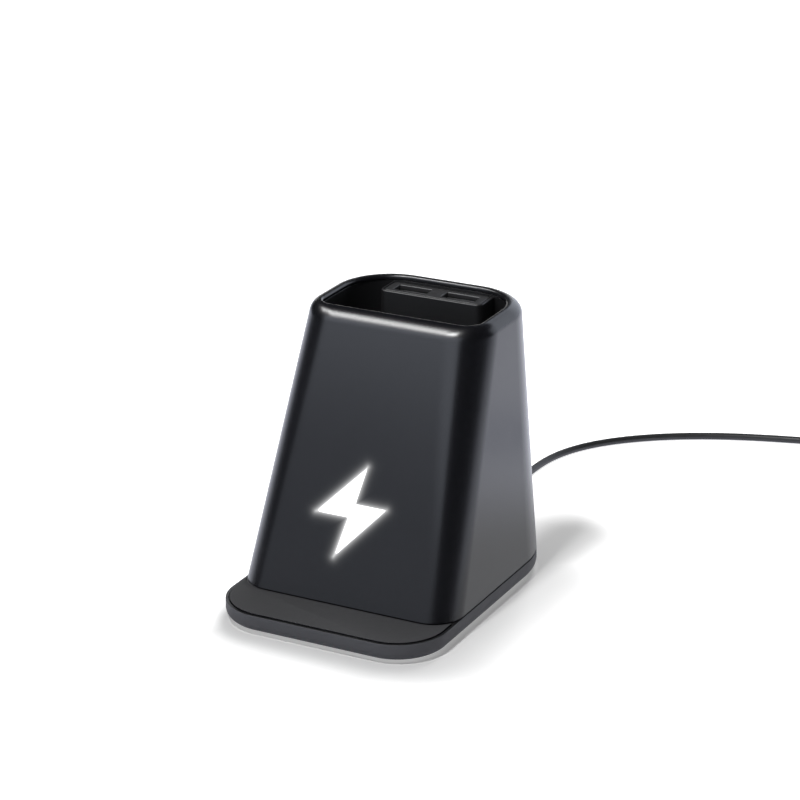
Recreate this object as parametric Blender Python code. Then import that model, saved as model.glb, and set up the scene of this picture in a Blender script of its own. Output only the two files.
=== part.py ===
"""Desk pencil holder with a wireless charging front, a light-up mark, two USB ports and a fixed lead.

A tapered shell stands on a low base, whose front runs out as a ledge for a phone. A liner hangs in
the shell's rolled mouth and holds the pens, and a tower at its back carries the ports. Metres, +Z up.
The origin is on the table, under the middle of the base, and the ledge faces -Y.
"""

import math

import bmesh
import bpy
import numpy as np
from mathutils import Vector

# Whole holder
BASE_WIDTH = 0.085
BODY_DEPTH = 0.0962
LEDGE_DEPTH = 0.0202
BASE_HEIGHT = 0.0067
HOLDER_HEIGHT = 0.1015
FOOT_DROP = 0.0008
FIT_GAP = 0.0003
OVERRUN = 0.002
EDGE_ROUNDING = 0.0003

# Outline of the base, and of the shell at its foot and at its top
BASE_FRONT_RADIUS = 0.0188
BASE_BACK_RADIUS = 0.033
FOOT_FRONT_RADIUS = 0.0116
TOP_WIDTH = 0.0724
TOP_DEPTH = 0.0489
TOP_BACK_SETBACK = 0.0095
TOP_FRONT_RADIUS = 0.0143
TOP_BACK_RADIUS = 0.022
SHELL_WALL = 0.0022

# Rolled rim and mouth
RIM_FILLET = 0.004
RIM_EDGE = 0.0005
RIM_LIP = 0.0015
MOUTH_INSET = 0.0052
MOUTH_FRONT_RADIUS = 0.0056
MOUTH_BACK_RADIUS = 0.0178

# Base frame, its ledge and the cover under it
UNDER_INSET = 0.0039
UNDER_ROUNDING = 0.0034
PAD_RIM = 0.0015
PAD_GROOVE = 0.0004
PAD_SEAM = 0.0002
PAD_RECESS = 0.0015
PAD_THICKNESS = 0.0009
DECK_THICKNESS = 0.0015
LOCATING_LIP = 0.0012
LOCATING_LIP_HEIGHT = 0.002
COVER_INSET = 0.0049
COVER_THICKNESS = 0.002
FLANGE_INSET = 0.0075

# Screws of the case, their posts, and the feet that hide them
POST_RADIUS = 0.0032
POST_BORE = 0.0016
POST_ROOM = 0.0012
POST_BORE_DEPTH = 0.0095
POST_RIB = 0.0014
RIB_BITE = 0.0009
FRONT_POST_SIDE_SET = 0.0125
FRONT_POST_SET = 0.018
BACK_POST_WALL_SET = 0.0103
COVER_BOSS_RADIUS = 0.0045
COVER_BOSS_HEIGHT = 0.0045
COUNTERBORE_RADIUS = 0.0031
COUNTERBORE_DEPTH = 0.003
SCREW_HOLE = 0.0017
CASE_SCREW_LENGTH = 0.0085
CASE_SHANK_RADIUS = 0.0013
CASE_HEAD_RADIUS = 0.0026
CASE_HEAD_HEIGHT = 0.0014
FOOT_RADIUS = 0.005
FOOT_HEIGHT = 0.0015
FOOT_ROUNDING = 0.0004
FRONT_FOOT_SIDE_SET = 0.0155
FRONT_FOOT_SET = 0.014

# Liner with the pen well, and the tower of the ports
CUP_WALL = 0.0016
CUP_STEP = 0.00025
CUP_DRAFT_SHARE = 0.0175
CUP_UNDER_HEIGHT = 0.019
CUP_BASE_ROUNDING = 0.0015
CUP_BOSS_RADIUS = 0.003
CUP_BOSS_SIDE_SET = 0.0142
CUP_BOSS_BACKSET = 0.0345
TOWER_DROP = 0.0022
TOWER_RADIUS = 0.0027
TOWER_ROOT_RADIUS = 0.00135
TOWER_WALL = 0.0014
TOWER_BITE = 0.0009
TOWER_BACK_WALL = 0.002
HUB_PLATE_THICKNESS = 0.0016
HUB_PLATE_SEAT = 0.0005
HUB_PLATE_RADIUS = 0.0018

# USB sockets and their board
PORT_PITCH = 0.0192
PORT_WIDTH = 0.013
PORT_DEPTH = 0.0052
PORT_RADIUS = 0.0004
PORT_SIDE_MARGIN = 0.0029
PORT_FRONT_MARGIN = 0.0015
SOCKET_SIDE_LAP = 0.00005
SOCKET_FACE_LAP = 0.00025
SOCKET_LENGTH = 0.0135
SOCKET_WALL = 0.00035
SOCKET_RADIUS = 0.0006
TONGUE_ROOT_HEIGHT = 0.003
TONGUE_SIDE_ROOM = 0.001
TONGUE_THICKNESS = 0.0018
TONGUE_OFFSET = 0.001
TONGUE_DROP = 0.0008
CONTACT_WIDTH = 0.001
CONTACT_THICKNESS = 0.0003
CONTACT_LENGTH = 0.0065
CONTACT_ROOT = 0.0012
CONTACT_DROP = 0.0012
CONTACT_SHARES = (-0.315, -0.09, 0.09, 0.315)
HUB_BOARD_ROOM = 0.0006
HUB_BOARD_HEIGHT = 0.031
HUB_BOARD_THICKNESS = 0.0012
HUB_SCREW_INSET = 0.0044
HUB_SCREW_RISE = 0.004
HUB_SCREW_BITE = 0.0016

# Light-up mark, seen square to the front face
MARK_WIDTH = 0.027
MARK_HEIGHT = 0.033
MARK_RISE = 0.0332
MARK_OFFSET = -0.002
MARK_ROUNDING = 0.0008
MARK_SHARES = ((0.14, 0.5), (-0.5, -0.06), (-0.03, -0.06), (-0.14, -0.5), (0.5, 0.09), (0.05, 0.09))
WINDOW_GAP = 0.0003
WINDOW_ROOT = 0.0005
WINDOW_FLANGE = 0.0015
WINDOW_FLANGE_THICKNESS = 0.001
LIGHT_BOX_SIDE_ROOM = 0.0005
LIGHT_BOX_COIL_ROOM = 0.0013
LIGHT_BOX_DEPTH = 0.0075
LIGHT_BOX_WALL = 0.001
LIGHT_LUG_WIDTH = 0.0085
LIGHT_LUG_HEIGHT = 0.008
LIGHT_LUG_THICKNESS = 0.0018
LED_BOARD_THICKNESS = 0.0012
LED_SIZE = 0.003
LED_HEIGHT = 0.0009
LED_PLACE_SHARES = ((-0.15, 0.25), (0.15, -0.25))

# Charging coil behind the front face
COIL_TURNS = 8
COIL_PITCH = 0.0012
COIL_STRAND_WIDTH = 0.0008
COIL_THICKNESS = 0.001
FERRITE_SIDE_MARGIN = 0.002
FERRITE_END_MARGIN = 0.001
FERRITE_THICKNESS = 0.0006
FERRITE_ROUNDING = 0.004
CARRIER_SIDE_SET = 0.0082
CARRIER_SCREW_ROOM = 0.0008
CARRIER_SCREW_INSET = 0.0038
CARRIER_LINER_ROOM = 0.00089
CARRIER_THICKNESS = 0.0012
CARRIER_ROUNDING = 0.004
CARRIER_WINDOW_RADIUS = 0.006
WALL_POST_RADIUS = 0.0024
WALL_POST_BORE = 0.0012

# Main board on the cover
BOARD_SIDE_SET = 0.017
BOARD_DEPTH = 0.034
BOARD_THICKNESS = 0.0016
BOARD_RISE = 0.0058
BOARD_FRONT_SET = 0.007
BOARD_ROUNDING = 0.002
STANDOFF_RADIUS = 0.0025
STANDOFF_BORE = 0.0011
STANDOFF_INSET = 0.0035
INDUCTOR_SIZE = 0.012
INDUCTOR_HEIGHT = 0.006
INDUCTOR_ROUNDING = 0.0025
CAPACITOR_RADIUS = 0.0032
CAPACITOR_HEIGHT = 0.007
CHIP_SIZE = 0.006
CHIP_HEIGHT = 0.001
TERMINAL_WIDTH = 0.009
TERMINAL_DEPTH = 0.006
TERMINAL_HEIGHT = 0.0055

# Small screws, as used on the boards, the carrier and the light box
SMALL_SHANK_RADIUS = 0.0008
SMALL_HEAD_RADIUS = 0.0016
SMALL_HEAD_HEIGHT = 0.0011
SMALL_SCREW_LENGTH = 0.0035

# Cord, its strain relief and its plug
CORD_DIAMETER = 0.0028
CORD_STEP = 0.0065
EXIT_RISE = 0.0143
RELIEF_BORE = 0.003
RELIEF_NECK = 0.0027
RELIEF_FLANGE_RADIUS = 0.004
RELIEF_FLANGE = 0.0016
RELIEF_COLLAR = 0.0014
RELIEF_LENGTH = 0.0165
RELIEF_ROOT_RADIUS = 0.0033
RELIEF_TIP_RADIUS = 0.0021
RELIEF_GROOVE = 0.0005
RELIEF_GROOVES = 4
CORD_ROUTE = (
    (0.0, 0.0825, 0.0152), (0.0001, 0.0905, 0.011), (0.0002, 0.0995, 0.0052), (0.0003, 0.1085, 0.0018),
    (0.0003, 0.1165, 0.0014), (0.0004, 0.1225, 0.0014), (0.0011, 0.13, 0.0014), (0.0036, 0.14, 0.0014),
    (0.0078, 0.149, 0.0014), (0.0134, 0.157, 0.0014), (0.0202, 0.1641, 0.0014), (0.0315, 0.1731, 0.0014),
    (0.0457, 0.1814, 0.0014), (0.064, 0.1891, 0.0014), (0.0834, 0.1948, 0.0015), (0.101, 0.1985, 0.0019),
)
BUNDLE_CENTRE = (0.1235, 0.1758)
BUNDLE_MEAN_RADIUS = 0.0168
BUNDLE_LIFT = 0.0009
BUNDLE_PITCH = 0.0033
BUNDLE_INWARD_TURNS = 4.5
BUNDLE_OUTWARD_TURNS = 4.25
BUNDLE_STEPS = 24
TIE_WIDTH = 0.006
TIE_THICKNESS = 0.0006
TIE_ROUNDING = 0.0022
TIE_INNER_SET = 0.0023
TAIL_ROUTE = (
    (0.0, -0.008, -0.0009), (0.0001, -0.016, -0.0031), (0.0003, -0.0245, -0.0041),
    (0.0003, -0.033, -0.0035), (0.0002, -0.0395, -0.0021),
)
TAIL_END = (0.0, -0.046, -0.0016)
GRIP_WIDTH = 0.0152
GRIP_THICKNESS = 0.008
GRIP_LENGTH = 0.021
GRIP_ROUNDING = 0.0026
GRIP_TAIL_LENGTH = 0.009
GRIP_TAIL_RADIUS = 0.0022
GRIP_NECK_WIDTH = 0.0066
GRIP_NECK_THICKNESS = 0.0057
GRIP_NECK_ROUNDING = 0.0027
GRIP_EDGE = 0.001
PLUG_WIDTH = 0.012
PLUG_THICKNESS = 0.0045
PLUG_LENGTH = 0.0185
PLUG_WALL = 0.0004
PLUG_TONGUE_WIDTH = 0.0106
PLUG_TONGUE_THICKNESS = 0.0018
PLUG_TONGUE_DROP = 0.001
RIBBON_WIDTH = 0.004
RIBBON_THICKNESS = 0.0007
LED_LEADS_ROOM = 0.00275

# Facets
CORNER_STEPS = 8
FILLET_STEPS = 4
POST_STEPS = 12
FOOT_STEPS = 20
SMALL_STEPS = 10
RELIEF_STEPS = 16
COIL_STEPS = 20

# Levels and faces worked out from the sizes above
BASE_DEPTH = BODY_DEPTH + LEDGE_DEPTH
UNDERSIDE = FOOT_DROP
DECK = UNDERSIDE + BASE_HEIGHT
TOP = UNDERSIDE + HOLDER_HEIGHT
BASE_FRONT = -BASE_DEPTH / 2
BASE_BACK = BASE_DEPTH / 2
BODY_FRONT = BASE_FRONT + LEDGE_DEPTH
TOP_BACK = BASE_BACK - TOP_BACK_SETBACK
TOP_FRONT = TOP_BACK - TOP_DEPTH
FRONT_LEAN = math.atan2(TOP_FRONT - BODY_FRONT, TOP - DECK)
BACK_LEAN = math.atan2(TOP_BACK_SETBACK, TOP - DECK)
FRONT_LENGTH = (TOP - DECK) / math.cos(FRONT_LEAN)
FRONT_WALL = SHELL_WALL * math.cos(FRONT_LEAN)
COVER_TOP = UNDERSIDE + COVER_THICKNESS
BOSS_TOP = UNDERSIDE + COVER_BOSS_HEIGHT
POST_FOOT = BOSS_TOP + FIT_GAP
MOUTH_BACK = TOP_BACK - MOUTH_INSET
CUP_TOP = TOP - RIM_LIP - FIT_GAP
CUP_UNDER = UNDERSIDE + CUP_UNDER_HEIGHT
POST_TOP = CUP_UNDER - POST_ROOM
TOWER_TOP = TOP - TOWER_DROP
TOWER_HOLLOW_BACK = MOUTH_BACK - TOWER_BACK_WALL
PLATE_SEAT = TOWER_TOP - HUB_PLATE_THICKNESS - FIT_GAP
SOCKET_TOP = PLATE_SEAT
SOCKET_WIDTH = PORT_WIDTH + 2 * SOCKET_SIDE_LAP
SOCKET_DEPTH = PORT_DEPTH + 2 * SOCKET_FACE_LAP
TONGUE_WIDTH = SOCKET_WIDTH - 2 * TONGUE_SIDE_ROOM
HUB_BOARD_TOP = PLATE_SEAT - FIT_GAP
SOCKET_BACK = TOWER_HOLLOW_BACK - FIT_GAP - HUB_BOARD_THICKNESS - FIT_GAP
PORT_Y = SOCKET_BACK - SOCKET_DEPTH / 2
TOWER_FRONT = SOCKET_BACK - SOCKET_DEPTH - PORT_FRONT_MARGIN - TOWER_WALL
TOWER_WIDTH = PORT_PITCH + PORT_WIDTH + 2 * (PORT_SIDE_MARGIN + TOWER_WALL)
HUB_BOARD_WIDTH = TOWER_WIDTH - 2 * (TOWER_WALL + HUB_BOARD_ROOM)
BOARD_WIDTH = BASE_WIDTH - 2 * BOARD_SIDE_SET
BOARD_BOTTOM = UNDERSIDE + BOARD_RISE
BOARD_TOP = BOARD_BOTTOM + BOARD_THICKNESS
BOARD_MIDDLE = BODY_FRONT + BOARD_FRONT_SET + BOARD_DEPTH / 2
CORD_RADIUS = CORD_DIAMETER / 2
BUNDLE_OUTER_RADIUS = BUNDLE_MEAN_RADIUS + BUNDLE_PITCH * BUNDLE_INWARD_TURNS / 2
BUNDLE_BOTTOM = CORD_RADIUS + BUNDLE_LIFT

# Depths behind the outer front face, measured square to it
WINDOW_BACK = FRONT_WALL + FIT_GAP + WINDOW_FLANGE_THICKNESS
LIGHT_FRONT = WINDOW_BACK + FIT_GAP
LIGHT_BACK = LIGHT_FRONT + LIGHT_BOX_DEPTH
LUG_BACK = LIGHT_FRONT + LIGHT_LUG_THICKNESS
COIL_FRONT = FRONT_WALL + FIT_GAP
COIL_BACK = COIL_FRONT + COIL_THICKNESS
FERRITE_FRONT = COIL_BACK + FIT_GAP
FERRITE_BACK = FERRITE_FRONT + FERRITE_THICKNESS
CARRIER_FRONT = FERRITE_BACK + FIT_GAP
CARRIER_BACK = CARRIER_FRONT + CARRIER_THICKNESS

# Sizes and places along the front face: the charger fills the room between the mark and the liner
LIGHT_BOX_WIDTH = MARK_WIDTH + 2 * (WINDOW_FLANGE + LIGHT_BOX_SIDE_ROOM)
LIGHT_BOX_HEIGHT = MARK_HEIGHT + 2 * WINDOW_FLANGE
LINER_SET = (CARRIER_BACK + CARRIER_LINER_ROOM) / math.cos(FRONT_LEAN) - (MOUTH_INSET - CUP_WALL)
CARRIER_LOW = MARK_RISE + LIGHT_BOX_HEIGHT / 2 + LIGHT_BOX_COIL_ROOM
CARRIER_HIGH = FRONT_LENGTH - LINER_SET / math.sin(FRONT_LEAN)
CARRIER_HEIGHT = CARRIER_HIGH - CARRIER_LOW
CARRIER_WIDTH = TOP_WIDTH - 2 * CARRIER_SIDE_SET
CARRIER_SCREW_SPREAD = CARRIER_WIDTH - 2 * CARRIER_SCREW_INSET
FERRITE_WIDTH = CARRIER_SCREW_SPREAD - 2 * (WALL_POST_RADIUS + CARRIER_SCREW_ROOM)
COIL_RISE = (CARRIER_LOW + CARRIER_HIGH) / 2
COIL_HALF_WIDTH = FERRITE_WIDTH / 2 - FERRITE_SIDE_MARGIN
COIL_HALF_HEIGHT = CARRIER_HEIGHT / 2 - FERRITE_END_MARGIN


def finish(name, colour, roughness, metallic=0.0):
    """A Principled material of one colour."""
    material = bpy.data.materials.new(name)
    material.use_nodes = True
    shader = material.node_tree.nodes["Principled BSDF"]
    shader.inputs["Base Color"].default_value = (*colour, 1.0)
    shader.inputs["Roughness"].default_value = roughness
    shader.inputs["Metallic"].default_value = metallic
    return material


def satin_black(name):
    return finish(name, (0.022, 0.022, 0.024), 0.45)


def dark_rubber(name):
    return finish(name, (0.03, 0.03, 0.031), 0.75)


def black_moulding(name):
    return finish(name, (0.012, 0.012, 0.013), 0.5)


def bright_steel(name):
    return finish(name, (0.6, 0.6, 0.62), 0.3, 1.0)


def copper(name):
    return finish(name, (0.72, 0.33, 0.16), 0.35, 1.0)


def green_board(name):
    return finish(name, (0.02, 0.12, 0.05), 0.5)


def white_plastic(name):
    return finish(name, (0.85, 0.85, 0.82), 0.4)


def add_piece(name, mesh, make_finish=None, parent=None):
    """Turns a bmesh into a named object; without a finish it is a hidden cutter or an added feature."""
    bmesh.ops.triangulate(mesh, faces=mesh.faces)
    bmesh.ops.recalc_face_normals(mesh, faces=mesh.faces)
    data = bpy.data.meshes.new(name)
    mesh.to_mesh(data)
    mesh.free()
    data.shade_smooth()
    data.set_sharp_from_angle(angle=math.radians(35))
    piece = bpy.data.objects.new(name, data)
    bpy.context.scene.collection.objects.link(piece)
    piece.parent = parent
    if make_finish:
        data.materials.append(make_finish(name + "_finish"))
    else:
        piece.hide_render = True
        piece.display_type = "WIRE"
    return piece


def loft(name, rings, make_finish=None, parent=None, ring_shaped=False):
    """Skins a stack of outlines of equal point counts. A ring-shaped loft joins its last to its first."""
    mesh = bmesh.new()
    rows = [[mesh.verts.new(point) for point in ring] for ring in rings]
    following = rows[1:] + rows[:1] if ring_shaped else rows[1:]
    for low, high in zip(rows, following):
        for i in range(len(low)):
            j = (i + 1) % len(low)
            mesh.faces.new((low[i], low[j], high[j], high[i]))
    if not ring_shaped:
        mesh.faces.new(rows[0])
        mesh.faces.new(rows[-1])
    return add_piece(name, mesh, make_finish, parent)


def level(outline, z):
    return [(x, y, z) for x, y in outline]


def prism(name, outline, low, high, make_finish=None, parent=None):
    return loft(name, [level(outline, low), level(outline, high)], make_finish, parent)


def circle(centre, radius, steps):
    angles = [2 * math.pi * i / steps for i in range(steps)]
    return [(centre[0] + radius * math.cos(a), centre[1] + radius * math.sin(a)) for a in angles]


def turned(name, centre, profile, steps, make_finish=None, parent=None):
    """A turned piece about a vertical axis, from (radius, height) pairs along its outside."""
    rings = [level(circle(centre, radius, steps), z) for radius, z in profile]
    return loft(name, rings, make_finish, parent)


def rod(name, centre, radius, low, high, steps, make_finish=None, parent=None):
    return turned(name, centre, ((radius, low), (radius, high)), steps, make_finish, parent)


def rounded_outline(width, front, back, front_radius, back_radius, middle=0.0):
    """A rectangle in plan with two corner radii, counter-clockwise from its back right corner."""
    half = width / 2
    corners = (
        (half - back_radius, back - back_radius, back_radius, 0),
        (back_radius - half, back - back_radius, back_radius, 1),
        (front_radius - half, front + front_radius, front_radius, 2),
        (half - front_radius, front + front_radius, front_radius, 3),
    )
    points = []
    for x, y, radius, quarter in corners:
        for i in range(CORNER_STEPS + 1):
            angle = (quarter + i / CORNER_STEPS) * math.pi / 2
            points.append((middle + x + radius * math.cos(angle), y + radius * math.sin(angle)))
    return points


def even_outline(width, depth, radius, centre=(0.0, 0.0)):
    return rounded_outline(width, centre[1] - depth / 2, centre[1] + depth / 2, radius, radius, centre[0])


def box_outline(width, depth, centre=(0.0, 0.0)):
    x, y = centre
    half, deep = width / 2, depth / 2
    return [(x + half, y + deep), (x - half, y + deep), (x - half, y - deep), (x + half, y - deep)]


def blend(start, end, share):
    return start + (end - start) * share


def base_outline(inset):
    """The base in plan, drawn in by the inset."""
    return rounded_outline(BASE_WIDTH - 2 * inset, BASE_FRONT + inset, BASE_BACK - inset,
                           BASE_FRONT_RADIUS - inset, BASE_BACK_RADIUS - inset)


def body_outline(z, inset):
    """The tapered shell's section at a height, drawn in by the inset."""
    rise = (z - DECK) / (TOP - DECK)
    return rounded_outline(blend(BASE_WIDTH, TOP_WIDTH, rise) - 2 * inset,
                           blend(BODY_FRONT, TOP_FRONT, rise) + inset,
                           blend(BASE_BACK, TOP_BACK, rise) - inset,
                           blend(FOOT_FRONT_RADIUS, TOP_FRONT_RADIUS, rise) - inset,
                           blend(BASE_BACK_RADIUS, TOP_BACK_RADIUS, rise) - inset)


def mouth_outline(inset):
    """The mouth's inner edge, drawn in by the inset, or grown where that is negative."""
    return rounded_outline(TOP_WIDTH - 2 * (MOUTH_INSET + inset), TOP_FRONT + MOUTH_INSET + inset,
                           MOUTH_BACK - inset, MOUTH_FRONT_RADIUS - inset, MOUTH_BACK_RADIUS - inset)


def between(first, second, share):
    """An outline part of the way from one outline to another with as many points."""
    return [(blend(a, c, share), blend(b, d, share)) for (a, b), (c, d) in zip(first, second)]


def offset_outline(points, distance):
    """Moves each edge of a counter-clockwise outline outwards by a distance, with mitred corners."""
    moved = []
    count = len(points)
    for i in range(count):
        before, here, after = (Vector(points[(i + k) % count]) for k in (-1, 0, 1))
        first = (here - before).normalized()
        second = (after - here).normalized()
        normals = Vector((first.y, -first.x)), Vector((second.y, -second.x))
        mitre = (normals[0] + normals[1]) / (1 + normals[0].dot(normals[1]))
        moved.append(here + mitre * distance)
    return [(p.x, p.y) for p in moved]


def softened_outline(points, radius, steps=3):
    """Replaces each corner with a short curve that starts and ends a radius away from it."""
    soft = []
    count = len(points)
    for i in range(count):
        before, here, after = (Vector(points[(i + k) % count]) for k in (-1, 0, 1))
        start = here + (before - here).normalized() * radius
        end = here + (after - here).normalized() * radius
        for k in range(steps):
            t = k / (steps - 1)
            soft.append(start * (1 - t) ** 2 + here * 2 * t * (1 - t) + end * t ** 2)
    return [(p.x, p.y) for p in soft]


def mark_outline(growth):
    """The plain lightning bolt on the front face, as a counter-clockwise outline."""
    corners = [(MARK_OFFSET + u * MARK_WIDTH, MARK_RISE + v * MARK_HEIGHT) for u, v in MARK_SHARES]
    return softened_outline(offset_outline(corners, growth), MARK_ROUNDING)


def combine(target, operation, operands):
    """Adds one Boolean that joins or cuts all the operands."""
    group = bpy.data.collections.new(f"{target.name}_{operation.lower()}")
    bpy.context.scene.collection.children.link(group)
    for operand in operands:
        bpy.context.scene.collection.objects.unlink(operand)
        group.objects.link(operand)
    boolean = target.modifiers.new(operation.title(), "BOOLEAN")
    boolean.operation = operation
    boolean.operand_type = "COLLECTION"
    boolean.collection = group
    boolean.solver = "EXACT"


def frame_at(name, place, turn):
    """An empty that pieces are placed from, turned about X."""
    empty = bpy.data.objects.new(name, None)
    bpy.context.scene.collection.objects.link(empty)
    empty.location = place
    empty.rotation_euler = (turn, 0.0, 0.0)
    return empty


def screw_profile(head_radius, head_height, shank_radius, length, start):
    """A pan-head screw from its head up, with a blunt point."""
    return (
        (head_radius * 0.7, start), (head_radius, start + head_height * 0.45), (head_radius, start + head_height),
        (shank_radius, start + head_height), (shank_radius, start + head_height + length - shank_radius),
        (shank_radius * 0.4, start + head_height + length),
    )


def small_screws(name, places, seat, parent=None, sign=-1):
    """Small screws whose heads bear on a level; the sign tells which way their points go."""
    profile = screw_profile(SMALL_HEAD_RADIUS, SMALL_HEAD_HEIGHT, SMALL_SHANK_RADIUS, SMALL_SCREW_LENGTH, 0.0)
    head = FIT_GAP + SMALL_HEAD_HEIGHT
    placed = [(radius, seat + sign * (z - head)) for radius, z in profile]
    for i, place in enumerate(places, 1):
        turned(f"{name}_{i}", place, placed, SMALL_STEPS, bright_steel, parent)


def ribbon(name, route, width, make_finish):
    """A flat cable along a path in an upright plane, with its width along X."""
    path = [Vector(point) for point in route]
    wide = Vector((width / 2, 0.0, 0.0))
    rings = []
    for i, point in enumerate(path):
        along = (path[min(i + 1, len(path) - 1)] - path[max(i - 1, 0)]).normalized()
        thick = Vector((0.0, -along.z, along.y)) * RIBBON_THICKNESS / 2
        rings.append([point + wide + thick, point - wide + thick, point - wide - thick, point + wide - thick])
    return loft(name, rings, make_finish)


def smooth_curve(points, step):
    """Points at even steps along a natural cubic spline through the given points."""
    knots = np.array(points, dtype=float)
    gaps = np.linalg.norm(np.diff(knots, axis=0), axis=1)
    marks = np.concatenate(([0.0], np.cumsum(gaps)))
    count = len(knots)
    system = np.eye(count)
    pull = np.zeros((count, 3))
    for i in range(1, count - 1):
        system[i, i - 1:i + 2] = gaps[i - 1], 2 * (gaps[i - 1] + gaps[i]), gaps[i]
        pull[i] = 6 * ((knots[i + 1] - knots[i]) / gaps[i] - (knots[i] - knots[i - 1]) / gaps[i - 1])
    bend = np.linalg.solve(system, pull)

    def at(mark):
        i = min(int(np.searchsorted(marks, mark, side="right")) - 1, count - 2)
        gap = gaps[i]
        a, b = (marks[i + 1] - mark) / gap, (mark - marks[i]) / gap
        curl = ((a ** 3 - a) * bend[i] + (b ** 3 - b) * bend[i + 1]) * gap ** 2 / 6
        return a * knots[i] + b * knots[i + 1] + curl

    pieces = max(2, round(marks[-1] / step))
    return [tuple(at(marks[-1] * i / pieces)) for i in range(pieces + 1)]


def path_length(points):
    return sum((Vector(b) - Vector(a)).length for a, b in zip(points, points[1:]))


def tube(name, points, sides_level):
    """A closed round tube of the cord along a list of points."""
    curve = bpy.data.curves.new(name, "CURVE")
    curve.dimensions = "3D"
    curve.bevel_depth = CORD_RADIUS
    curve.bevel_resolution = sides_level
    curve.use_fill_caps = True
    spline = curve.splines.new("POLY")
    spline.points.add(len(points) - 1)
    for spot, point in zip(spline.points, points):
        spot.co = (*point, 1.0)
    curve.materials.append(dark_rubber(name + "_finish"))
    bpy.context.scene.collection.objects.link(bpy.data.objects.new(name, curve))


def post_places():
    """Plan position of each case post, with the way its rib runs to the wall."""
    front_x = BASE_WIDTH / 2 - FRONT_POST_SIDE_SET
    front_y = BODY_FRONT + FRONT_POST_SET
    slant = math.pi / 4
    reach = BASE_BACK_RADIUS - SHELL_WALL - BACK_POST_WALL_SET
    back_x = BASE_WIDTH / 2 - BASE_BACK_RADIUS + reach * math.cos(slant)
    back_y = BASE_BACK - BASE_BACK_RADIUS + reach * math.sin(slant)
    side_reach = FRONT_POST_SIDE_SET - SHELL_WALL + RIB_BITE
    back_reach = BACK_POST_WALL_SET + RIB_BITE
    return (
        ((front_x, front_y), 0.0, side_reach), ((-front_x, front_y), math.pi, side_reach),
        ((back_x, back_y), slant, back_reach), ((-back_x, back_y), math.pi - slant, back_reach),
    )


def foot_places():
    """Two feet under the ledge's corners, and two over the rear screws of the case."""
    x = BASE_WIDTH / 2 - FRONT_FOOT_SIDE_SET
    y = BASE_FRONT + FRONT_FOOT_SET
    rear = [place for place, _, _ in post_places()][2:]
    return [(x, y), (-x, y)] + rear


def cup_boss_places():
    x = TOP_WIDTH / 2 - CUP_BOSS_SIDE_SET
    y = BASE_BACK - CUP_BOSS_BACKSET
    return (x, y), (-x, y)


def standoff_places():
    x = BOARD_WIDTH / 2 - STANDOFF_INSET
    y = BOARD_DEPTH / 2 - STANDOFF_INSET
    return [(i * x, BOARD_MIDDLE + j * y) for i in (-1, 1) for j in (-1, 1)]


def carrier_screw_places():
    return [(i * CARRIER_SCREW_SPREAD / 2, COIL_RISE) for i in (-1, 1)]


def light_screw_places():
    x = LIGHT_BOX_WIDTH / 2 + LIGHT_LUG_WIDTH / 2
    return [(MARK_OFFSET + i * x, MARK_RISE) for i in (-1, 1)]


def shell_posts():
    """Screw posts inside the shell, each with a rib to the wall."""
    posts = []
    for i, (place, heading, reach) in enumerate(post_places(), 1):
        posts.append(rod(f"shell_post_{i}", place, POST_RADIUS, POST_FOOT, POST_TOP, POST_STEPS))
        along = Vector((math.cos(heading), math.sin(heading)))
        across = Vector((-along.y, along.x)) * POST_RIB / 2
        start = Vector(place)
        end = start + along * reach
        corners = [end + across, start + across, start - across, end - across]
        outline = [(corner.x, corner.y) for corner in corners]
        posts.append(prism(f"shell_rib_{i}", outline, DECK + LOCATING_LIP_HEIGHT + FIT_GAP, POST_TOP - FIT_GAP))
    return posts


def wall_posts(front_frame):
    """Posts on the back of the front wall for the coil carrier and the light box."""
    root = FRONT_WALL / 2
    spots = [(p, CARRIER_FRONT - FIT_GAP) for p in carrier_screw_places()]
    spots += [(p, LIGHT_FRONT - FIT_GAP) for p in light_screw_places()]
    posts, bores = [], []
    for i, (place, depth) in enumerate(spots, 1):
        posts.append(rod(f"wall_post_{i}", place, WALL_POST_RADIUS, -depth, -root, POST_STEPS, parent=front_frame))
        bores.append(rod(f"wall_bore_{i}", place, WALL_POST_BORE, -depth - OVERRUN, -FRONT_WALL,
                         SMALL_STEPS, parent=front_frame))
    return posts, bores


def make_body_shell(front_frame, exit_frame):
    """The tapered outer shell: up its outside, over the rolled rim, down the lip and the inside."""
    foot = DECK + FIT_GAP
    rings = [level(body_outline(foot, 0.0), foot)]
    crown = mouth_outline(RIM_FILLET - MOUTH_INSET)
    for i in range(FILLET_STEPS + 1):
        angle = math.pi / 2 * i / FILLET_STEPS
        z = TOP - RIM_FILLET * (1 - math.sin(angle))
        rings.append(level(between(body_outline(z, 0.0), crown, 1 - math.cos(angle)), z))
    lip_under = TOP - RIM_LIP
    rings.append(level(mouth_outline(-RIM_EDGE), TOP))
    rings.append(level(mouth_outline(0.0), TOP - RIM_EDGE))
    rings.append(level(mouth_outline(0.0), lip_under))
    rings.append(level(body_outline(lip_under, SHELL_WALL), lip_under))
    rings.append(level(body_outline(foot, SHELL_WALL), foot))
    shell = loft("body_shell", rings, satin_black, ring_shaped=True)
    posts, bores = wall_posts(front_frame)
    combine(shell, "UNION", shell_posts() + posts)
    for i, (place, _, _) in enumerate(post_places(), 1):
        bores.append(rod(f"shell_bore_{i}", place, POST_BORE, POST_FOOT - OVERRUN,
                         POST_FOOT + POST_BORE_DEPTH, SMALL_STEPS))
    bores.append(prism("window_cut", mark_outline(0.0), -FRONT_WALL - OVERRUN, OVERRUN, parent=front_frame))
    bores.append(rod("cord_hole", (0.0, 0.0), RELIEF_BORE, -SHELL_WALL - OVERRUN, OVERRUN,
                     RELIEF_STEPS, parent=exit_frame))
    combine(shell, "DIFFERENCE", bores)


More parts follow.
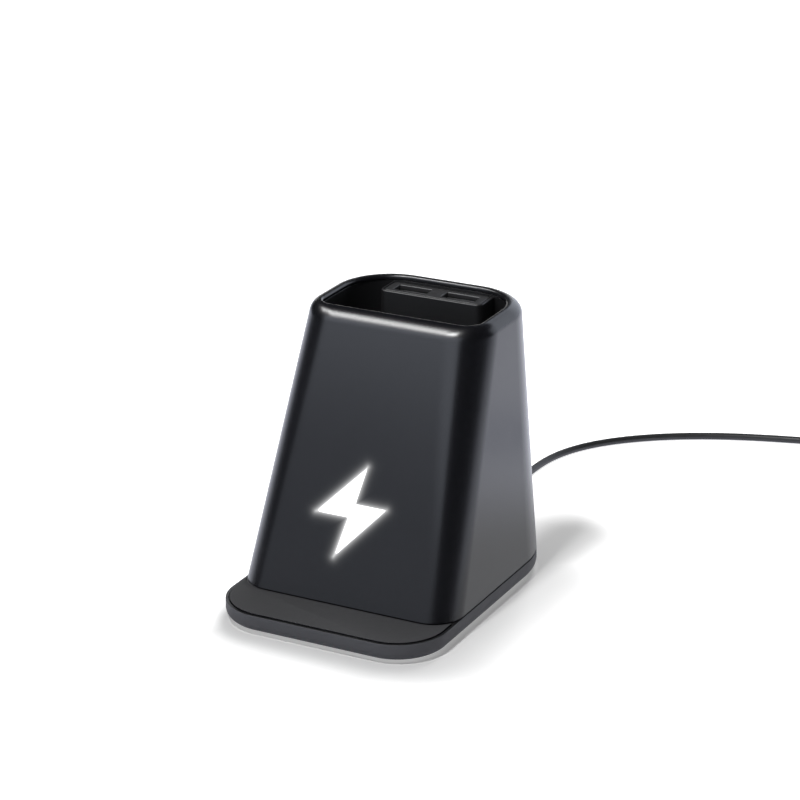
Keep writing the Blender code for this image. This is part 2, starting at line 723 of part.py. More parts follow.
def ledge_outline_cutter(name, growth):
    """A tall block of the shell's foot, which leaves only the ledge of what it is cut from."""
    return prism(name, offset_outline(body_outline(DECK, 0.0), growth), UNDERSIDE, DECK + OVERRUN * 2)


def make_base_frame():
    """The base's rim and ledge deck, open where the shell stands on it."""
    rings = []
    for i in range(FILLET_STEPS + 1):
        angle = math.pi / 2 * i / FILLET_STEPS
        z = UNDERSIDE + UNDER_ROUNDING * (1 - math.cos(angle))
        rings.append(level(base_outline(UNDER_INSET * (1 - math.sin(angle))), z))
    rings.append(level(base_outline(0.0), DECK - EDGE_ROUNDING))
    rings.append(level(base_outline(EDGE_ROUNDING), DECK))
    frame = loft("base_frame", rings, satin_black)

    lip_top = DECK + LOCATING_LIP_HEIGHT
    lip_root = DECK - DECK_THICKNESS
    lip_outer = SHELL_WALL + FIT_GAP
    lip_inner = lip_outer + LOCATING_LIP
    lip = loft("locating_lip", [level(body_outline(lip_root, lip_outer), lip_root),
                                level(body_outline(lip_top, lip_outer), lip_top)])
    combine(frame, "UNION", [lip])

    recess = prism("pad_recess", base_outline(PAD_RIM), DECK - PAD_RECESS, DECK + OVERRUN)
    combine(recess, "DIFFERENCE", [ledge_outline_cutter("recess_keep", PAD_SEAM)])
    pocket_top = COVER_TOP + FIT_GAP
    deck_under = DECK - PAD_RECESS - DECK_THICKNESS
    pocket = prism("cover_pocket", base_outline(COVER_INSET), UNDERSIDE - OVERRUN, pocket_top)
    hollow = prism("ledge_hollow", base_outline(FLANGE_INSET), pocket_top - OVERRUN / 2, deck_under)
    opening = loft("body_opening", [
        level(body_outline(deck_under, lip_inner), deck_under - FIT_GAP),
        level(body_outline(lip_top, lip_inner), lip_top + OVERRUN)])
    combine(frame, "DIFFERENCE", [recess, pocket, hollow, opening])


def make_ledge_pad():
    low = DECK - PAD_RECESS + FIT_GAP
    pad = prism("ledge_pad", base_outline(PAD_RIM + PAD_GROOVE), low, low + PAD_THICKNESS, dark_rubber)
    combine(pad, "DIFFERENCE", [ledge_outline_cutter("pad_keep", PAD_SEAM + FIT_GAP)])


def make_bottom_cover():
    """The plate under the base, with bosses for the screws and standoffs for the main board."""
    cover = prism("bottom_cover", base_outline(COVER_INSET + FIT_GAP), UNDERSIDE, COVER_TOP, black_moulding)
    root = UNDERSIDE + COVER_THICKNESS / 2
    holes, bosses = [], []
    posts = [place for place, _, _ in post_places()]
    for i, place in enumerate(posts + list(cup_boss_places()), 1):
        bosses.append(rod(f"cover_boss_{i}", place, COVER_BOSS_RADIUS, root, BOSS_TOP, POST_STEPS))
        holes.append(turned(f"cover_hole_{i}", place, (
            (COUNTERBORE_RADIUS, UNDERSIDE - OVERRUN), (COUNTERBORE_RADIUS, UNDERSIDE + COUNTERBORE_DEPTH),
            (SCREW_HOLE, UNDERSIDE + COUNTERBORE_DEPTH), (SCREW_HOLE, BOSS_TOP + OVERRUN)), POST_STEPS))
    for i, place in enumerate(foot_places(), 1):
        holes.append(rod(f"foot_recess_{i}", place, FOOT_RADIUS + FIT_GAP, UNDERSIDE - OVERRUN,
                         UNDERSIDE + FOOT_HEIGHT - FOOT_DROP + FIT_GAP, FOOT_STEPS))
    for i, place in enumerate(standoff_places(), 1):
        bosses.append(rod(f"standoff_{i}", place, STANDOFF_RADIUS, root, BOARD_BOTTOM - FIT_GAP, POST_STEPS))
        holes.append(rod(f"standoff_bore_{i}", place, STANDOFF_BORE, COVER_TOP, BOARD_BOTTOM + OVERRUN,
                         SMALL_STEPS))
    combine(cover, "UNION", bosses)
    combine(cover, "DIFFERENCE", holes)


def make_feet_and_case_screws():
    low = UNDERSIDE + COUNTERBORE_DEPTH - FIT_GAP - CASE_HEAD_HEIGHT
    profile = screw_profile(CASE_HEAD_RADIUS, CASE_HEAD_HEIGHT, CASE_SHANK_RADIUS, CASE_SCREW_LENGTH, low)
    for i, place in enumerate(foot_places(), 1):
        turned(f"foot_{i}", place, (
            (FOOT_RADIUS - FOOT_ROUNDING, 0.0), (FOOT_RADIUS, FOOT_ROUNDING), (FOOT_RADIUS, FOOT_HEIGHT)),
            FOOT_STEPS, dark_rubber)
    for i, (place, _, _) in enumerate(post_places(), 1):
        turned(f"case_screw_{i}", place, profile, SMALL_STEPS, bright_steel)
    for i, place in enumerate(cup_boss_places(), 1):
        turned(f"cup_screw_{i}", place, profile, SMALL_STEPS, bright_steel)


def cup_draft(z):
    return CUP_DRAFT_SHARE * (CUP_TOP - z)


def tower_outline(z):
    """The tower in plan at a height, wider towards its root, with its back sunk in the liner's wall."""
    draft = cup_draft(z)
    back = MOUTH_BACK - draft + TOWER_BITE
    return rounded_outline(TOWER_WIDTH + 2 * draft, TOWER_FRONT - draft, back, TOWER_RADIUS, TOWER_ROOT_RADIUS)


def make_pen_cup():
    """The liner: a tapered cup under the rim's lip, with the hollow tower for the ports at its back."""
    shoulder = CUP_UNDER + CUP_BASE_ROUNDING
    cup = loft("pen_cup", [
        level(mouth_outline(cup_draft(CUP_UNDER) - CUP_WALL + CUP_BASE_ROUNDING), CUP_UNDER),
        level(mouth_outline(cup_draft(shoulder) - CUP_WALL), shoulder),
        level(mouth_outline(-CUP_WALL), CUP_TOP)], black_moulding)
    floor = CUP_UNDER + CUP_WALL
    well = loft("well_cut", [
        level(mouth_outline(cup_draft(floor) - CUP_STEP), floor),
        level(mouth_outline(cup_draft(CUP_TOP + OVERRUN) - CUP_STEP), CUP_TOP + OVERRUN)])
    combine(cup, "DIFFERENCE", [well])

    root = CUP_UNDER + CUP_WALL / 2
    edge = TOWER_TOP - EDGE_ROUNDING
    tower = loft("port_tower", [
        level(tower_outline(root), root), level(tower_outline(edge), edge),
        level(offset_outline(tower_outline(TOWER_TOP), -EDGE_ROUNDING), TOWER_TOP)])
    bosses = [rod(f"cup_boss_{i}", place, CUP_BOSS_RADIUS, POST_FOOT, root, POST_STEPS)
              for i, place in enumerate(cup_boss_places(), 1)]
    combine(cup, "UNION", [tower] + bosses)

    hollow_depth = TOWER_HOLLOW_BACK - TOWER_FRONT - TOWER_WALL
    hollow_middle = (TOWER_HOLLOW_BACK + TOWER_FRONT + TOWER_WALL) / 2
    hollow = prism("tower_hollow", box_outline(TOWER_WIDTH - 2 * TOWER_WALL, hollow_depth, (0.0, hollow_middle)),
                   CUP_UNDER - OVERRUN, PLATE_SEAT + OVERRUN)
    rebate = prism("plate_rebate", plate_outline(0.0), PLATE_SEAT, TOWER_TOP + OVERRUN)
    cuts = [hollow, rebate]
    for i, place in enumerate(cup_boss_places(), 1):
        cuts.append(rod(f"cup_bore_{i}", place, POST_BORE, POST_FOOT - OVERRUN, POST_FOOT + POST_BORE_DEPTH,
                        SMALL_STEPS))
    cuts += [rod(f"hub_bore_{i}", place, WALL_POST_BORE, -OVERRUN, HUB_SCREW_BITE + FIT_GAP, SMALL_STEPS,
                 parent=hub_frame()) for i, place in enumerate(hub_screw_places(), 1)]
    combine(cup, "DIFFERENCE", cuts)


def plate_outline(inset):
    """The port plate's seat in plan: a step wider than the tower's hollow on every side."""
    front = TOWER_FRONT + TOWER_WALL - HUB_PLATE_SEAT
    back = TOWER_HOLLOW_BACK + HUB_PLATE_SEAT
    width = TOWER_WIDTH - 2 * (TOWER_WALL - HUB_PLATE_SEAT)
    return even_outline(width - 2 * inset, back - front - 2 * inset, HUB_PLATE_RADIUS - inset,
                        (0.0, (front + back) / 2))


def hub_frame():
    """The tower's back wall, from its inner face, with local +Z into the wall and local +Y down."""
    return frame_at("hub_wall", (0.0, TOWER_HOLLOW_BACK, HUB_BOARD_TOP - HUB_BOARD_HEIGHT), -math.pi / 2)


def hub_screw_places():
    x = HUB_BOARD_WIDTH / 2 - HUB_SCREW_INSET
    return (x, -HUB_SCREW_RISE), (-x, -HUB_SCREW_RISE)


def make_hub():
    """The port plate, the two sockets with their tongues and contacts, and the upright board."""
    plate = prism("hub_plate", plate_outline(FIT_GAP), TOWER_TOP - HUB_PLATE_THICKNESS, TOWER_TOP, black_moulding)
    ports = []
    for i, side in enumerate((-1, 1), 1):
        middle = (side * PORT_PITCH / 2, PORT_Y)
        ports.append(prism(f"port_cut_{i}", even_outline(PORT_WIDTH, PORT_DEPTH, PORT_RADIUS, middle),
                           PLATE_SEAT - OVERRUN, TOWER_TOP + OVERRUN))
        low = SOCKET_TOP - SOCKET_LENGTH
        outer = even_outline(SOCKET_WIDTH, SOCKET_DEPTH, SOCKET_RADIUS, middle)
        inner = even_outline(SOCKET_WIDTH - 2 * SOCKET_WALL, SOCKET_DEPTH - 2 * SOCKET_WALL,
                             SOCKET_RADIUS - SOCKET_WALL, middle)
        loft(f"usb_shell_{i}", [level(outer, low), level(outer, SOCKET_TOP), level(inner, SOCKET_TOP),
                                level(inner, low)], bright_steel, ring_shaped=True)
        room = SOCKET_WALL + FIT_GAP
        tongue_middle = (middle[0], middle[1] + TONGUE_OFFSET)
        tongue = prism(f"usb_tongue_{i}", box_outline(SOCKET_WIDTH - 2 * room, SOCKET_DEPTH - 2 * room, middle),
                       low, low + TONGUE_ROOT_HEIGHT, black_moulding)
        blade = prism(f"tongue_blade_{i}", box_outline(TONGUE_WIDTH, TONGUE_THICKNESS, tongue_middle),
                      low + TONGUE_ROOT_HEIGHT / 2, SOCKET_TOP - TONGUE_DROP)
        combine(tongue, "UNION", [blade])
        contact_y = tongue_middle[1] - TONGUE_THICKNESS / 2 - FIT_GAP / 2 - CONTACT_THICKNESS / 2
        high = SOCKET_TOP - CONTACT_DROP
        comb_width = 2 * max(CONTACT_SHARES) * TONGUE_WIDTH + CONTACT_WIDTH
        comb = prism(f"usb_contacts_{i}", box_outline(comb_width, CONTACT_THICKNESS, (middle[0], contact_y)),
                     high - CONTACT_LENGTH, high - CONTACT_LENGTH + CONTACT_ROOT, copper)
        combine(comb, "UNION", [
            prism(f"contact_{i}_{k}", box_outline(CONTACT_WIDTH, CONTACT_THICKNESS,
                                                  (middle[0] + share * TONGUE_WIDTH, contact_y)),
                  high - CONTACT_LENGTH, high) for k, share in enumerate(CONTACT_SHARES, 1)])
    combine(plate, "DIFFERENCE", ports)

    wall = hub_frame()
    board_low = -FIT_GAP - HUB_BOARD_THICKNESS
    board = prism("hub_board", box_outline(HUB_BOARD_WIDTH, HUB_BOARD_HEIGHT, (0.0, -HUB_BOARD_HEIGHT / 2)),
                  board_low, -FIT_GAP, green_board, wall)
    combine(board, "DIFFERENCE", [
        rod(f"hub_board_hole_{i}", place, WALL_POST_BORE, board_low - OVERRUN, OVERRUN, SMALL_STEPS, parent=wall)
        for i, place in enumerate(hub_screw_places(), 1)])
    small_screws("hub_screw", hub_screw_places(), board_low, wall, sign=1)


def make_mark_light(front_frame):
    """The window in the front face, the reflector frame behind it, and the board with the lamps."""
    window = prism("light_window", mark_outline(-WINDOW_GAP), -FRONT_WALL - FIT_GAP - WINDOW_ROOT, 0.0,
                   white_plastic, front_frame)
    middle = (MARK_OFFSET, MARK_RISE)
    flange = prism("window_flange", even_outline(MARK_WIDTH + 2 * WINDOW_FLANGE, MARK_HEIGHT + 2 * WINDOW_FLANGE,
                                                 WINDOW_FLANGE, middle),
                   -WINDOW_BACK, -FRONT_WALL - FIT_GAP, parent=front_frame)
    combine(window, "UNION", [flange])
    light_box = prism("light_box", box_outline(LIGHT_BOX_WIDTH, LIGHT_BOX_HEIGHT, middle),
                      -LIGHT_BACK, -LIGHT_FRONT, white_plastic, front_frame)
    span = LIGHT_BOX_WIDTH + 2 * LIGHT_LUG_WIDTH
    lugs = prism("light_lugs", even_outline(span, LIGHT_LUG_HEIGHT, LIGHT_LUG_HEIGHT / 3, middle),
                 -LUG_BACK, -LIGHT_FRONT, parent=front_frame)
    combine(light_box, "UNION", [lugs])
    inner = (LIGHT_BOX_WIDTH - 2 * LIGHT_BOX_WALL, LIGHT_BOX_HEIGHT - 2 * LIGHT_BOX_WALL)
    cuts = [prism("light_box_cut", box_outline(*inner, middle), -LIGHT_BACK - OVERRUN, -LIGHT_FRONT + OVERRUN,
                  parent=front_frame)]
    cuts += [rod(f"lug_hole_{i}", place, WALL_POST_BORE, -LUG_BACK - OVERRUN, -LIGHT_FRONT + OVERRUN,
                 SMALL_STEPS, parent=front_frame) for i, place in enumerate(light_screw_places(), 1)]
    combine(light_box, "DIFFERENCE", cuts)
    small_screws("light_screw", light_screw_places(), -LUG_BACK, front_frame, sign=1)

    board_front = -LIGHT_BACK + LED_BOARD_THICKNESS
    board_size = (inner[0] - 2 * FIT_GAP, inner[1] - 2 * FIT_GAP)
    prism("led_board", box_outline(*board_size, middle), -LIGHT_BACK, board_front, green_board, front_frame)
    for i, (u, v) in enumerate(LED_PLACE_SHARES, 1):
        place = (middle[0] + u * inner[0], middle[1] + v * inner[1])
        prism(f"led_{i}", box_outline(LED_SIZE, LED_SIZE, place), board_front + FIT_GAP,
              board_front + FIT_GAP + LED_HEIGHT, white_plastic, front_frame)


def charge_coil_rings():
    """Sections of the flat spiral, which draws in by one pitch each turn."""
    rings = []
    steps = COIL_TURNS * COIL_STEPS
    for i in range(steps + 1):
        turns = i / COIL_STEPS
        angle = 2 * math.pi * turns - math.pi / 2
        ring = []
        for edge, depth in ((0, COIL_FRONT), (0, COIL_BACK), (1, COIL_BACK), (1, COIL_FRONT)):
            drawn_in = turns * COIL_PITCH + edge * COIL_STRAND_WIDTH
            across = (COIL_HALF_WIDTH - drawn_in) * math.cos(angle)
            along = (COIL_HALF_HEIGHT - drawn_in) * math.sin(angle)
            ring.append((across, COIL_RISE + along, -depth))
        rings.append(ring)
    return rings


def make_charger(front_frame):
    """The spiral coil, the ferrite behind it, and the carrier that holds both on the wall's posts."""
    loft("charge_coil", charge_coil_rings(), copper, front_frame)
    middle = (0.0, COIL_RISE)
    prism("ferrite_sheet", even_outline(FERRITE_WIDTH, CARRIER_HEIGHT, FERRITE_ROUNDING, middle),
          -FERRITE_BACK, -FERRITE_FRONT, dark_rubber, front_frame)
    carrier = prism("coil_carrier", even_outline(CARRIER_WIDTH, CARRIER_HEIGHT, CARRIER_ROUNDING, middle),
                    -CARRIER_BACK, -CARRIER_FRONT, black_moulding, front_frame)
    cuts = [rod(f"carrier_hole_{i}", place, WALL_POST_BORE, -CARRIER_BACK - OVERRUN, -CARRIER_FRONT + OVERRUN,
                SMALL_STEPS, parent=front_frame) for i, place in enumerate(carrier_screw_places(), 1)]
    cuts.append(rod("carrier_window", middle, CARRIER_WINDOW_RADIUS, -CARRIER_BACK - OVERRUN,
                    -CARRIER_FRONT + OVERRUN, FOOT_STEPS, parent=front_frame))
    combine(carrier, "DIFFERENCE", cuts)
    small_screws("carrier_screw", carrier_screw_places(), -CARRIER_BACK, front_frame, sign=1)


def terminal_place():
    return 0.0, BOARD_MIDDLE + BOARD_DEPTH / 2 - TERMINAL_DEPTH / 2 - FIT_GAP


def make_main_board():
    """The charger's board on the cover's standoffs, with its larger parts."""
    board = prism("main_board", even_outline(BOARD_WIDTH, BOARD_DEPTH, BOARD_ROUNDING, (0.0, BOARD_MIDDLE)),
                  BOARD_BOTTOM, BOARD_TOP, green_board)
    combine(board, "DIFFERENCE", [
        rod(f"board_hole_{i}", place, STANDOFF_BORE, BOARD_BOTTOM - OVERRUN, BOARD_TOP + OVERRUN, SMALL_STEPS)
        for i, place in enumerate(standoff_places(), 1)])
    small_screws("board_screw", standoff_places(), BOARD_TOP)

    seat = BOARD_TOP + FIT_GAP
    prism("power_inductor", even_outline(INDUCTOR_SIZE, INDUCTOR_SIZE, INDUCTOR_ROUNDING,
                                         (-BOARD_WIDTH / 4, BOARD_MIDDLE)), seat, seat + INDUCTOR_HEIGHT, dark_rubber)
    for i, side in enumerate((-1, 1), 1):
        place = (BOARD_WIDTH / 4, BOARD_MIDDLE + side * CAPACITOR_RADIUS * 1.5)
        rod(f"capacitor_{i}", place, CAPACITOR_RADIUS, seat, seat + CAPACITOR_HEIGHT, POST_STEPS, bright_steel)
    prism("control_chip", box_outline(CHIP_SIZE, CHIP_SIZE, (0.0, BOARD_MIDDLE - BOARD_DEPTH / 4)), seat,
          seat + CHIP_HEIGHT, black_moulding)
    prism("cord_terminal", box_outline(TERMINAL_WIDTH, TERMINAL_DEPTH, terminal_place()), seat,
          seat + TERMINAL_HEIGHT, white_plastic)


def front_point(front_frame, x, rise, depth):
    """A point given by its place on the front face and its depth behind it, in world axes."""
    along = Vector((0.0, math.sin(FRONT_LEAN), math.cos(FRONT_LEAN)))
    inward = Vector((0.0, math.cos(FRONT_LEAN), -math.sin(FRONT_LEAN)))
    return tuple(Vector(front_frame.location) + Vector((x, 0.0, 0.0)) + along * rise + inward * depth)


def make_wires(front_frame):
    """The flat cables between the boards and the coil, laid where the case leaves room."""
    floor = BOARD_TOP + FIT_GAP + RIBBON_THICKNESS / 2
    gap = RIBBON_THICKNESS / 2 + FIT_GAP
    side = BOARD_WIDTH / 4 + CAPACITOR_RADIUS + FIT_GAP + RIBBON_WIDTH / 2
    start = front_point(front_frame, side, COIL_RISE - CARRIER_HEIGHT / 3, CARRIER_BACK + gap)
    rest = (side, BOARD_MIDDLE + BOARD_DEPTH / 3, floor)
    lift = (side, start[1] + gap * 3, blend(rest[2], start[2], 1 / 2))
    ribbon("coil_leads", smooth_curve((start, lift, rest), CORD_STEP / 2), RIBBON_WIDTH, copper)

    x = INDUCTOR_SIZE / 2 - BOARD_WIDTH / 4 + LED_LEADS_ROOM + RIBBON_WIDTH / 2
    start = front_point(front_frame, x, MARK_RISE - LIGHT_BOX_HEIGHT / 3, LIGHT_BACK + gap)
    rest = (x, BOARD_MIDDLE + BOARD_DEPTH / 8, floor)
    lift = (x, blend(start[1], rest[1], 2 / 3), blend(start[2], rest[2], 1 / 3))
    ribbon("led_leads", smooth_curve((start, lift, rest), CORD_STEP / 2), RIBBON_WIDTH, white_plastic)

    _, terminal_y = terminal_place()
    board_front = TOWER_HOLLOW_BACK - FIT_GAP - HUB_BOARD_THICKNESS - gap
    x = TERMINAL_WIDTH / 2 + FIT_GAP * 2 + RIBBON_WIDTH / 2
    top = (x, board_front, HUB_BOARD_TOP - HUB_BOARD_HEIGHT + gap * 2)
    hollow_middle = (TOWER_FRONT + TOWER_WALL + TOWER_HOLLOW_BACK) / 2
    drop = (x, hollow_middle, blend(CUP_UNDER, top[2], 1 / 2))
    knee = (x, hollow_middle, CUP_UNDER)
    bend = (x, blend(terminal_y, board_front, 1 / 2), blend(floor, CUP_UNDER, 1 / 3))
    ribbon("hub_leads", smooth_curve((top, drop, knee, bend, (x, terminal_y, floor)), CORD_STEP / 2),
           RIBBON_WIDTH, dark_rubber)


def make_strain_relief(exit_frame):
    """The turned bush in the back wall: inner flange, neck, collar and a grooved taper."""
    wall = SHELL_WALL * math.cos(BACK_LEAN)
    flange_front = -wall - FIT_GAP
    profile = [
        (RELIEF_FLANGE_RADIUS, flange_front - RELIEF_FLANGE), (RELIEF_FLANGE_RADIUS, flange_front),
        (RELIEF_NECK, flange_front), (RELIEF_NECK, FIT_GAP), (RELIEF_FLANGE_RADIUS, FIT_GAP),
        (RELIEF_FLANGE_RADIUS, RELIEF_COLLAR), (RELIEF_ROOT_RADIUS, RELIEF_COLLAR + FIT_GAP),
    ]
    for i in range(RELIEF_GROOVES):
        for step, cut in ((0.35, 0.0), (0.45, RELIEF_GROOVE), (0.8, RELIEF_GROOVE), (0.9, 0.0)):
            share = (i + step) / (RELIEF_GROOVES + 1)
            radius = blend(RELIEF_ROOT_RADIUS, RELIEF_TIP_RADIUS, share) - cut
            profile.append((radius, blend(RELIEF_COLLAR, RELIEF_LENGTH, share)))
    profile.append((RELIEF_TIP_RADIUS, RELIEF_LENGTH))
    turned("strain_relief", (0.0, 0.0), profile, RELIEF_STEPS, dark_rubber, exit_frame)


def exit_point(distance):
    """A point on the cord's exit axis, at a distance outside the back wall."""
    height = EXIT_RISE
    share = (height - DECK) / (TOP - DECK)
    wall_y = blend(BASE_BACK, TOP_BACK, share)
    return 0.0, wall_y + distance * math.cos(BACK_LEAN), height + distance * math.sin(BACK_LEAN)


def bundle_points():
    """The put-away coil: a spiral in on the table, a climb in the turning half turn, a spiral out on top.

    The radius falls by one pitch each turn and then grows alike, clockwise seen from above.
    """
    points = []
    rate = BUNDLE_PITCH / (2 * math.pi)
    inward, outward = 2 * math.pi * BUNDLE_INWARD_TURNS, 2 * math.pi * BUNDLE_OUTWARD_TURNS
    total = inward + math.pi + outward
    steps = round(total / (2 * math.pi) * BUNDLE_STEPS)
    inner = BUNDLE_OUTER_RADIUS - rate * inward
    for i in range(steps + 1):
        turn = total * i / steps
        climb = min(max(turn - inward, 0.0), math.pi)
        if turn < inward:
            radius = BUNDLE_OUTER_RADIUS - rate * turn
        elif turn < inward + math.pi:
            radius = inner - rate * math.sin(climb)
        else:
            radius = inner + rate * (turn - inward - math.pi)
        z = BUNDLE_BOTTOM + BUNDLE_PITCH * (1 - math.cos(climb)) / 2
        angle = math.pi / 2 - turn
        points.append((BUNDLE_CENTRE[0] + radius * math.cos(angle), BUNDLE_CENTRE[1] + radius * math.sin(angle), z))
    return points


def straightened(points, heading_in, heading_out):
    """Adds a straight diameter at each end, along the given headings."""
    first = Vector(points[0]) - Vector(heading_in) * CORD_DIAMETER
    last = Vector(points[-1]) + Vector(heading_out) * CORD_DIAMETER
    return [tuple(first)] + list(points) + [tuple(last)]


def self_gap(points):
    """Least distance between stretches of the path that lie over a turn's half apart, less one diameter."""
    path = np.array(points)
    apart = np.linalg.norm(path[:, None] - path[None], axis=2)
    near = np.abs(np.subtract.outer(np.arange(len(path)), np.arange(len(path)))) < BUNDLE_STEPS // 2
    return float(apart[~near].min()) - CORD_DIAMETER


def make_cord():
    """The cord outside: the lead over the table, the tied coil, the tail and the plug."""
    bundle = straightened(bundle_points(), (1.0, 0.0, 0.0), (0.0, -1.0, 0.0))
    start = exit_point(RELIEF_LENGTH + FIT_GAP)
    straight = exit_point(RELIEF_LENGTH + FIT_GAP + CORD_DIAMETER)
    meet = Vector(bundle[0]) - Vector((FIT_GAP, 0.0, 0.0))
    before_meet = meet - Vector((CORD_DIAMETER, 0.0, 0.0))
    route = smooth_curve((straight,) + CORD_ROUTE + (tuple(before_meet),), CORD_STEP)
    lead = [start] + route + [tuple(meet)]
    tail_start = Vector(bundle[-1]) + Vector((0.0, -FIT_GAP, 0.0))
    tail_straight = tail_start + Vector((0.0, -CORD_DIAMETER, 0.0))
    plug_spot = tail_straight + Vector(TAIL_END)
    before_plug = plug_spot + Vector((0.0, CORD_DIAMETER, 0.0))
    spots = [tuple(tail_straight)] + [tuple(tail_straight + Vector(p)) for p in TAIL_ROUTE] + [tuple(before_plug)]
    tail = [tuple(tail_start)] + smooth_curve(spots, CORD_STEP) + [tuple(plug_spot)]

    tube("cord_lead", lead, 2)
    tube("cord_coil", bundle, 1)
    tube("cord_tail", tail, 2)
    lengths = path_length(lead), path_length(bundle), path_length(tail)
    print("cord lengths", [round(v, 4) for v in lengths], "total", round(sum(lengths), 4))
    print("cord coil least self gap", round(self_gap(bundle[1:-1]), 5))
    make_tie()
    make_plug(plug_spot)


def make_tie():
    """The strap round the coil's turns on its near side: a flat band bent round the bundle's section."""
    half_turn_radius = BUNDLE_OUTER_RADIUS - BUNDLE_PITCH * BUNDLE_INWARD_TURNS
    inner = half_turn_radius - CORD_RADIUS - FIT_GAP - (TIE_INNER_SET - CORD_RADIUS)
    outer = BUNDLE_OUTER_RADIUS - BUNDLE_PITCH / 2 + CORD_RADIUS + FIT_GAP
    low = TIE_THICKNESS
    high = BUNDLE_BOTTOM + BUNDLE_PITCH + CORD_RADIUS + FIT_GAP

    def band(growth, offset):
        section = rounded_outline(outer - inner + 2 * growth, low - growth, high + growth, TIE_ROUNDING + growth,
                                  TIE_ROUNDING + growth, (inner + outer) / 2)
        return [(BUNDLE_CENTRE[0] + offset, BUNDLE_CENTRE[1] - r, z) for r, z in section]

    half = TIE_WIDTH / 2
    loft("coil_tie", [band(0.0, -half), band(TIE_THICKNESS, -half), band(TIE_THICKNESS, half),
                      band(0.0, half)], dark_rubber, ring_shaped=True)


def make_plug(spot):
    """The moulded grip with its tapered tail, and the open metal shell with its tongue."""
    axis = frame_at("plug_axis", (spot.x, spot.y - FIT_GAP, spot.z), math.pi / 2)
    tail = even_outline(GRIP_TAIL_RADIUS * 2, GRIP_TAIL_RADIUS * 2, GRIP_TAIL_RADIUS)
    neck = even_outline(GRIP_NECK_WIDTH, GRIP_NECK_THICKNESS, GRIP_NECK_ROUNDING)
    body = even_outline(GRIP_WIDTH, GRIP_THICKNESS, GRIP_ROUNDING)
    face = even_outline(GRIP_WIDTH - 2 * GRIP_EDGE, GRIP_THICKNESS - 2 * GRIP_EDGE, GRIP_ROUNDING - GRIP_EDGE)
    end = GRIP_TAIL_LENGTH + GRIP_LENGTH
    loft("plug_grip", [level(tail, 0.0), level(neck, GRIP_TAIL_LENGTH), level(face, GRIP_TAIL_LENGTH + FIT_GAP),
                       level(body, GRIP_TAIL_LENGTH + FIT_GAP + GRIP_EDGE), level(body, end - GRIP_EDGE),
                       level(face, end)], dark_rubber, axis)
    low = end + FIT_GAP
    high = low + PLUG_LENGTH
    outer = even_outline(PLUG_WIDTH, PLUG_THICKNESS, PLUG_WALL * 2)
    inner = even_outline(PLUG_WIDTH - 2 * PLUG_WALL, PLUG_THICKNESS - 2 * PLUG_WALL, PLUG_WALL)
    loft("plug_shell", [level(outer, low), level(outer, high), level(inner, high), level(inner, low)],
         bright_steel, axis, ring_shaped=True)
    room = PLUG_WALL + FIT_GAP
    tongue_y = PLUG_THICKNESS / 2 - room - PLUG_TONGUE_THICKNESS / 2
    prism("plug_tongue", box_outline(PLUG_TONGUE_WIDTH, PLUG_TONGUE_THICKNESS, (0.0, -tongue_y)), low,
          high - PLUG_TONGUE_DROP, white_plastic, axis)


def make_cord_inside():
    """The stretch of cord from the bush's inner flange to the terminal on the main board."""
    wall = SHELL_WALL * math.cos(BACK_LEAN)
    start = exit_point(-wall - RELIEF_FLANGE - 2 * FIT_GAP)
    straight = exit_point(-wall - RELIEF_FLANGE - 2 * FIT_GAP - CORD_DIAMETER)
    x, terminal_y = terminal_place()
    end = (x, terminal_y + TERMINAL_DEPTH / 2 + FIT_GAP, BOARD_TOP + FIT_GAP + TERMINAL_HEIGHT / 2)
    before_end = (x, end[1] + CORD_DIAMETER, end[2])
    middle = (x, (start[1] + end[1]) / 2, end[2])
    route = [start] + smooth_curve((straight, middle, before_end), CORD_STEP) + [end]
    tube("cord_inside", route, 2)


def main():
    for obj in list(bpy.data.objects):
        bpy.data.objects.remove(obj)
    front_frame = frame_at("front_face", (0.0, BODY_FRONT, DECK), math.pi / 2 - FRONT_LEAN)
    exit_frame = frame_at("cord_exit", exit_point(0.0), BACK_LEAN - math.pi / 2)
    make_body_shell(front_frame, exit_frame)
    make_base_frame()
    make_ledge_pad()
    make_bottom_cover()
    make_feet_and_case_screws()
    make_pen_cup()
    make_hub()
    make_mark_light(front_frame)
    make_charger(front_frame)
    make_main_board()
    make_wires(front_frame)
    make_strain_relief(exit_frame)
    make_cord_inside()
    make_cord()


main()
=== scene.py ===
# %% [markdown]
# # A desk pencil holder, dressed for its picture
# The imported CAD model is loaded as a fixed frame: every solid keeps its place and its size. What follows
# gives it a camera, a lead, smooth skins worked out as surfaces, and finishes made of shader nodes.

# %% Load the frame
import math

import bpy
import numpy as np
from mathutils import Matrix, Vector


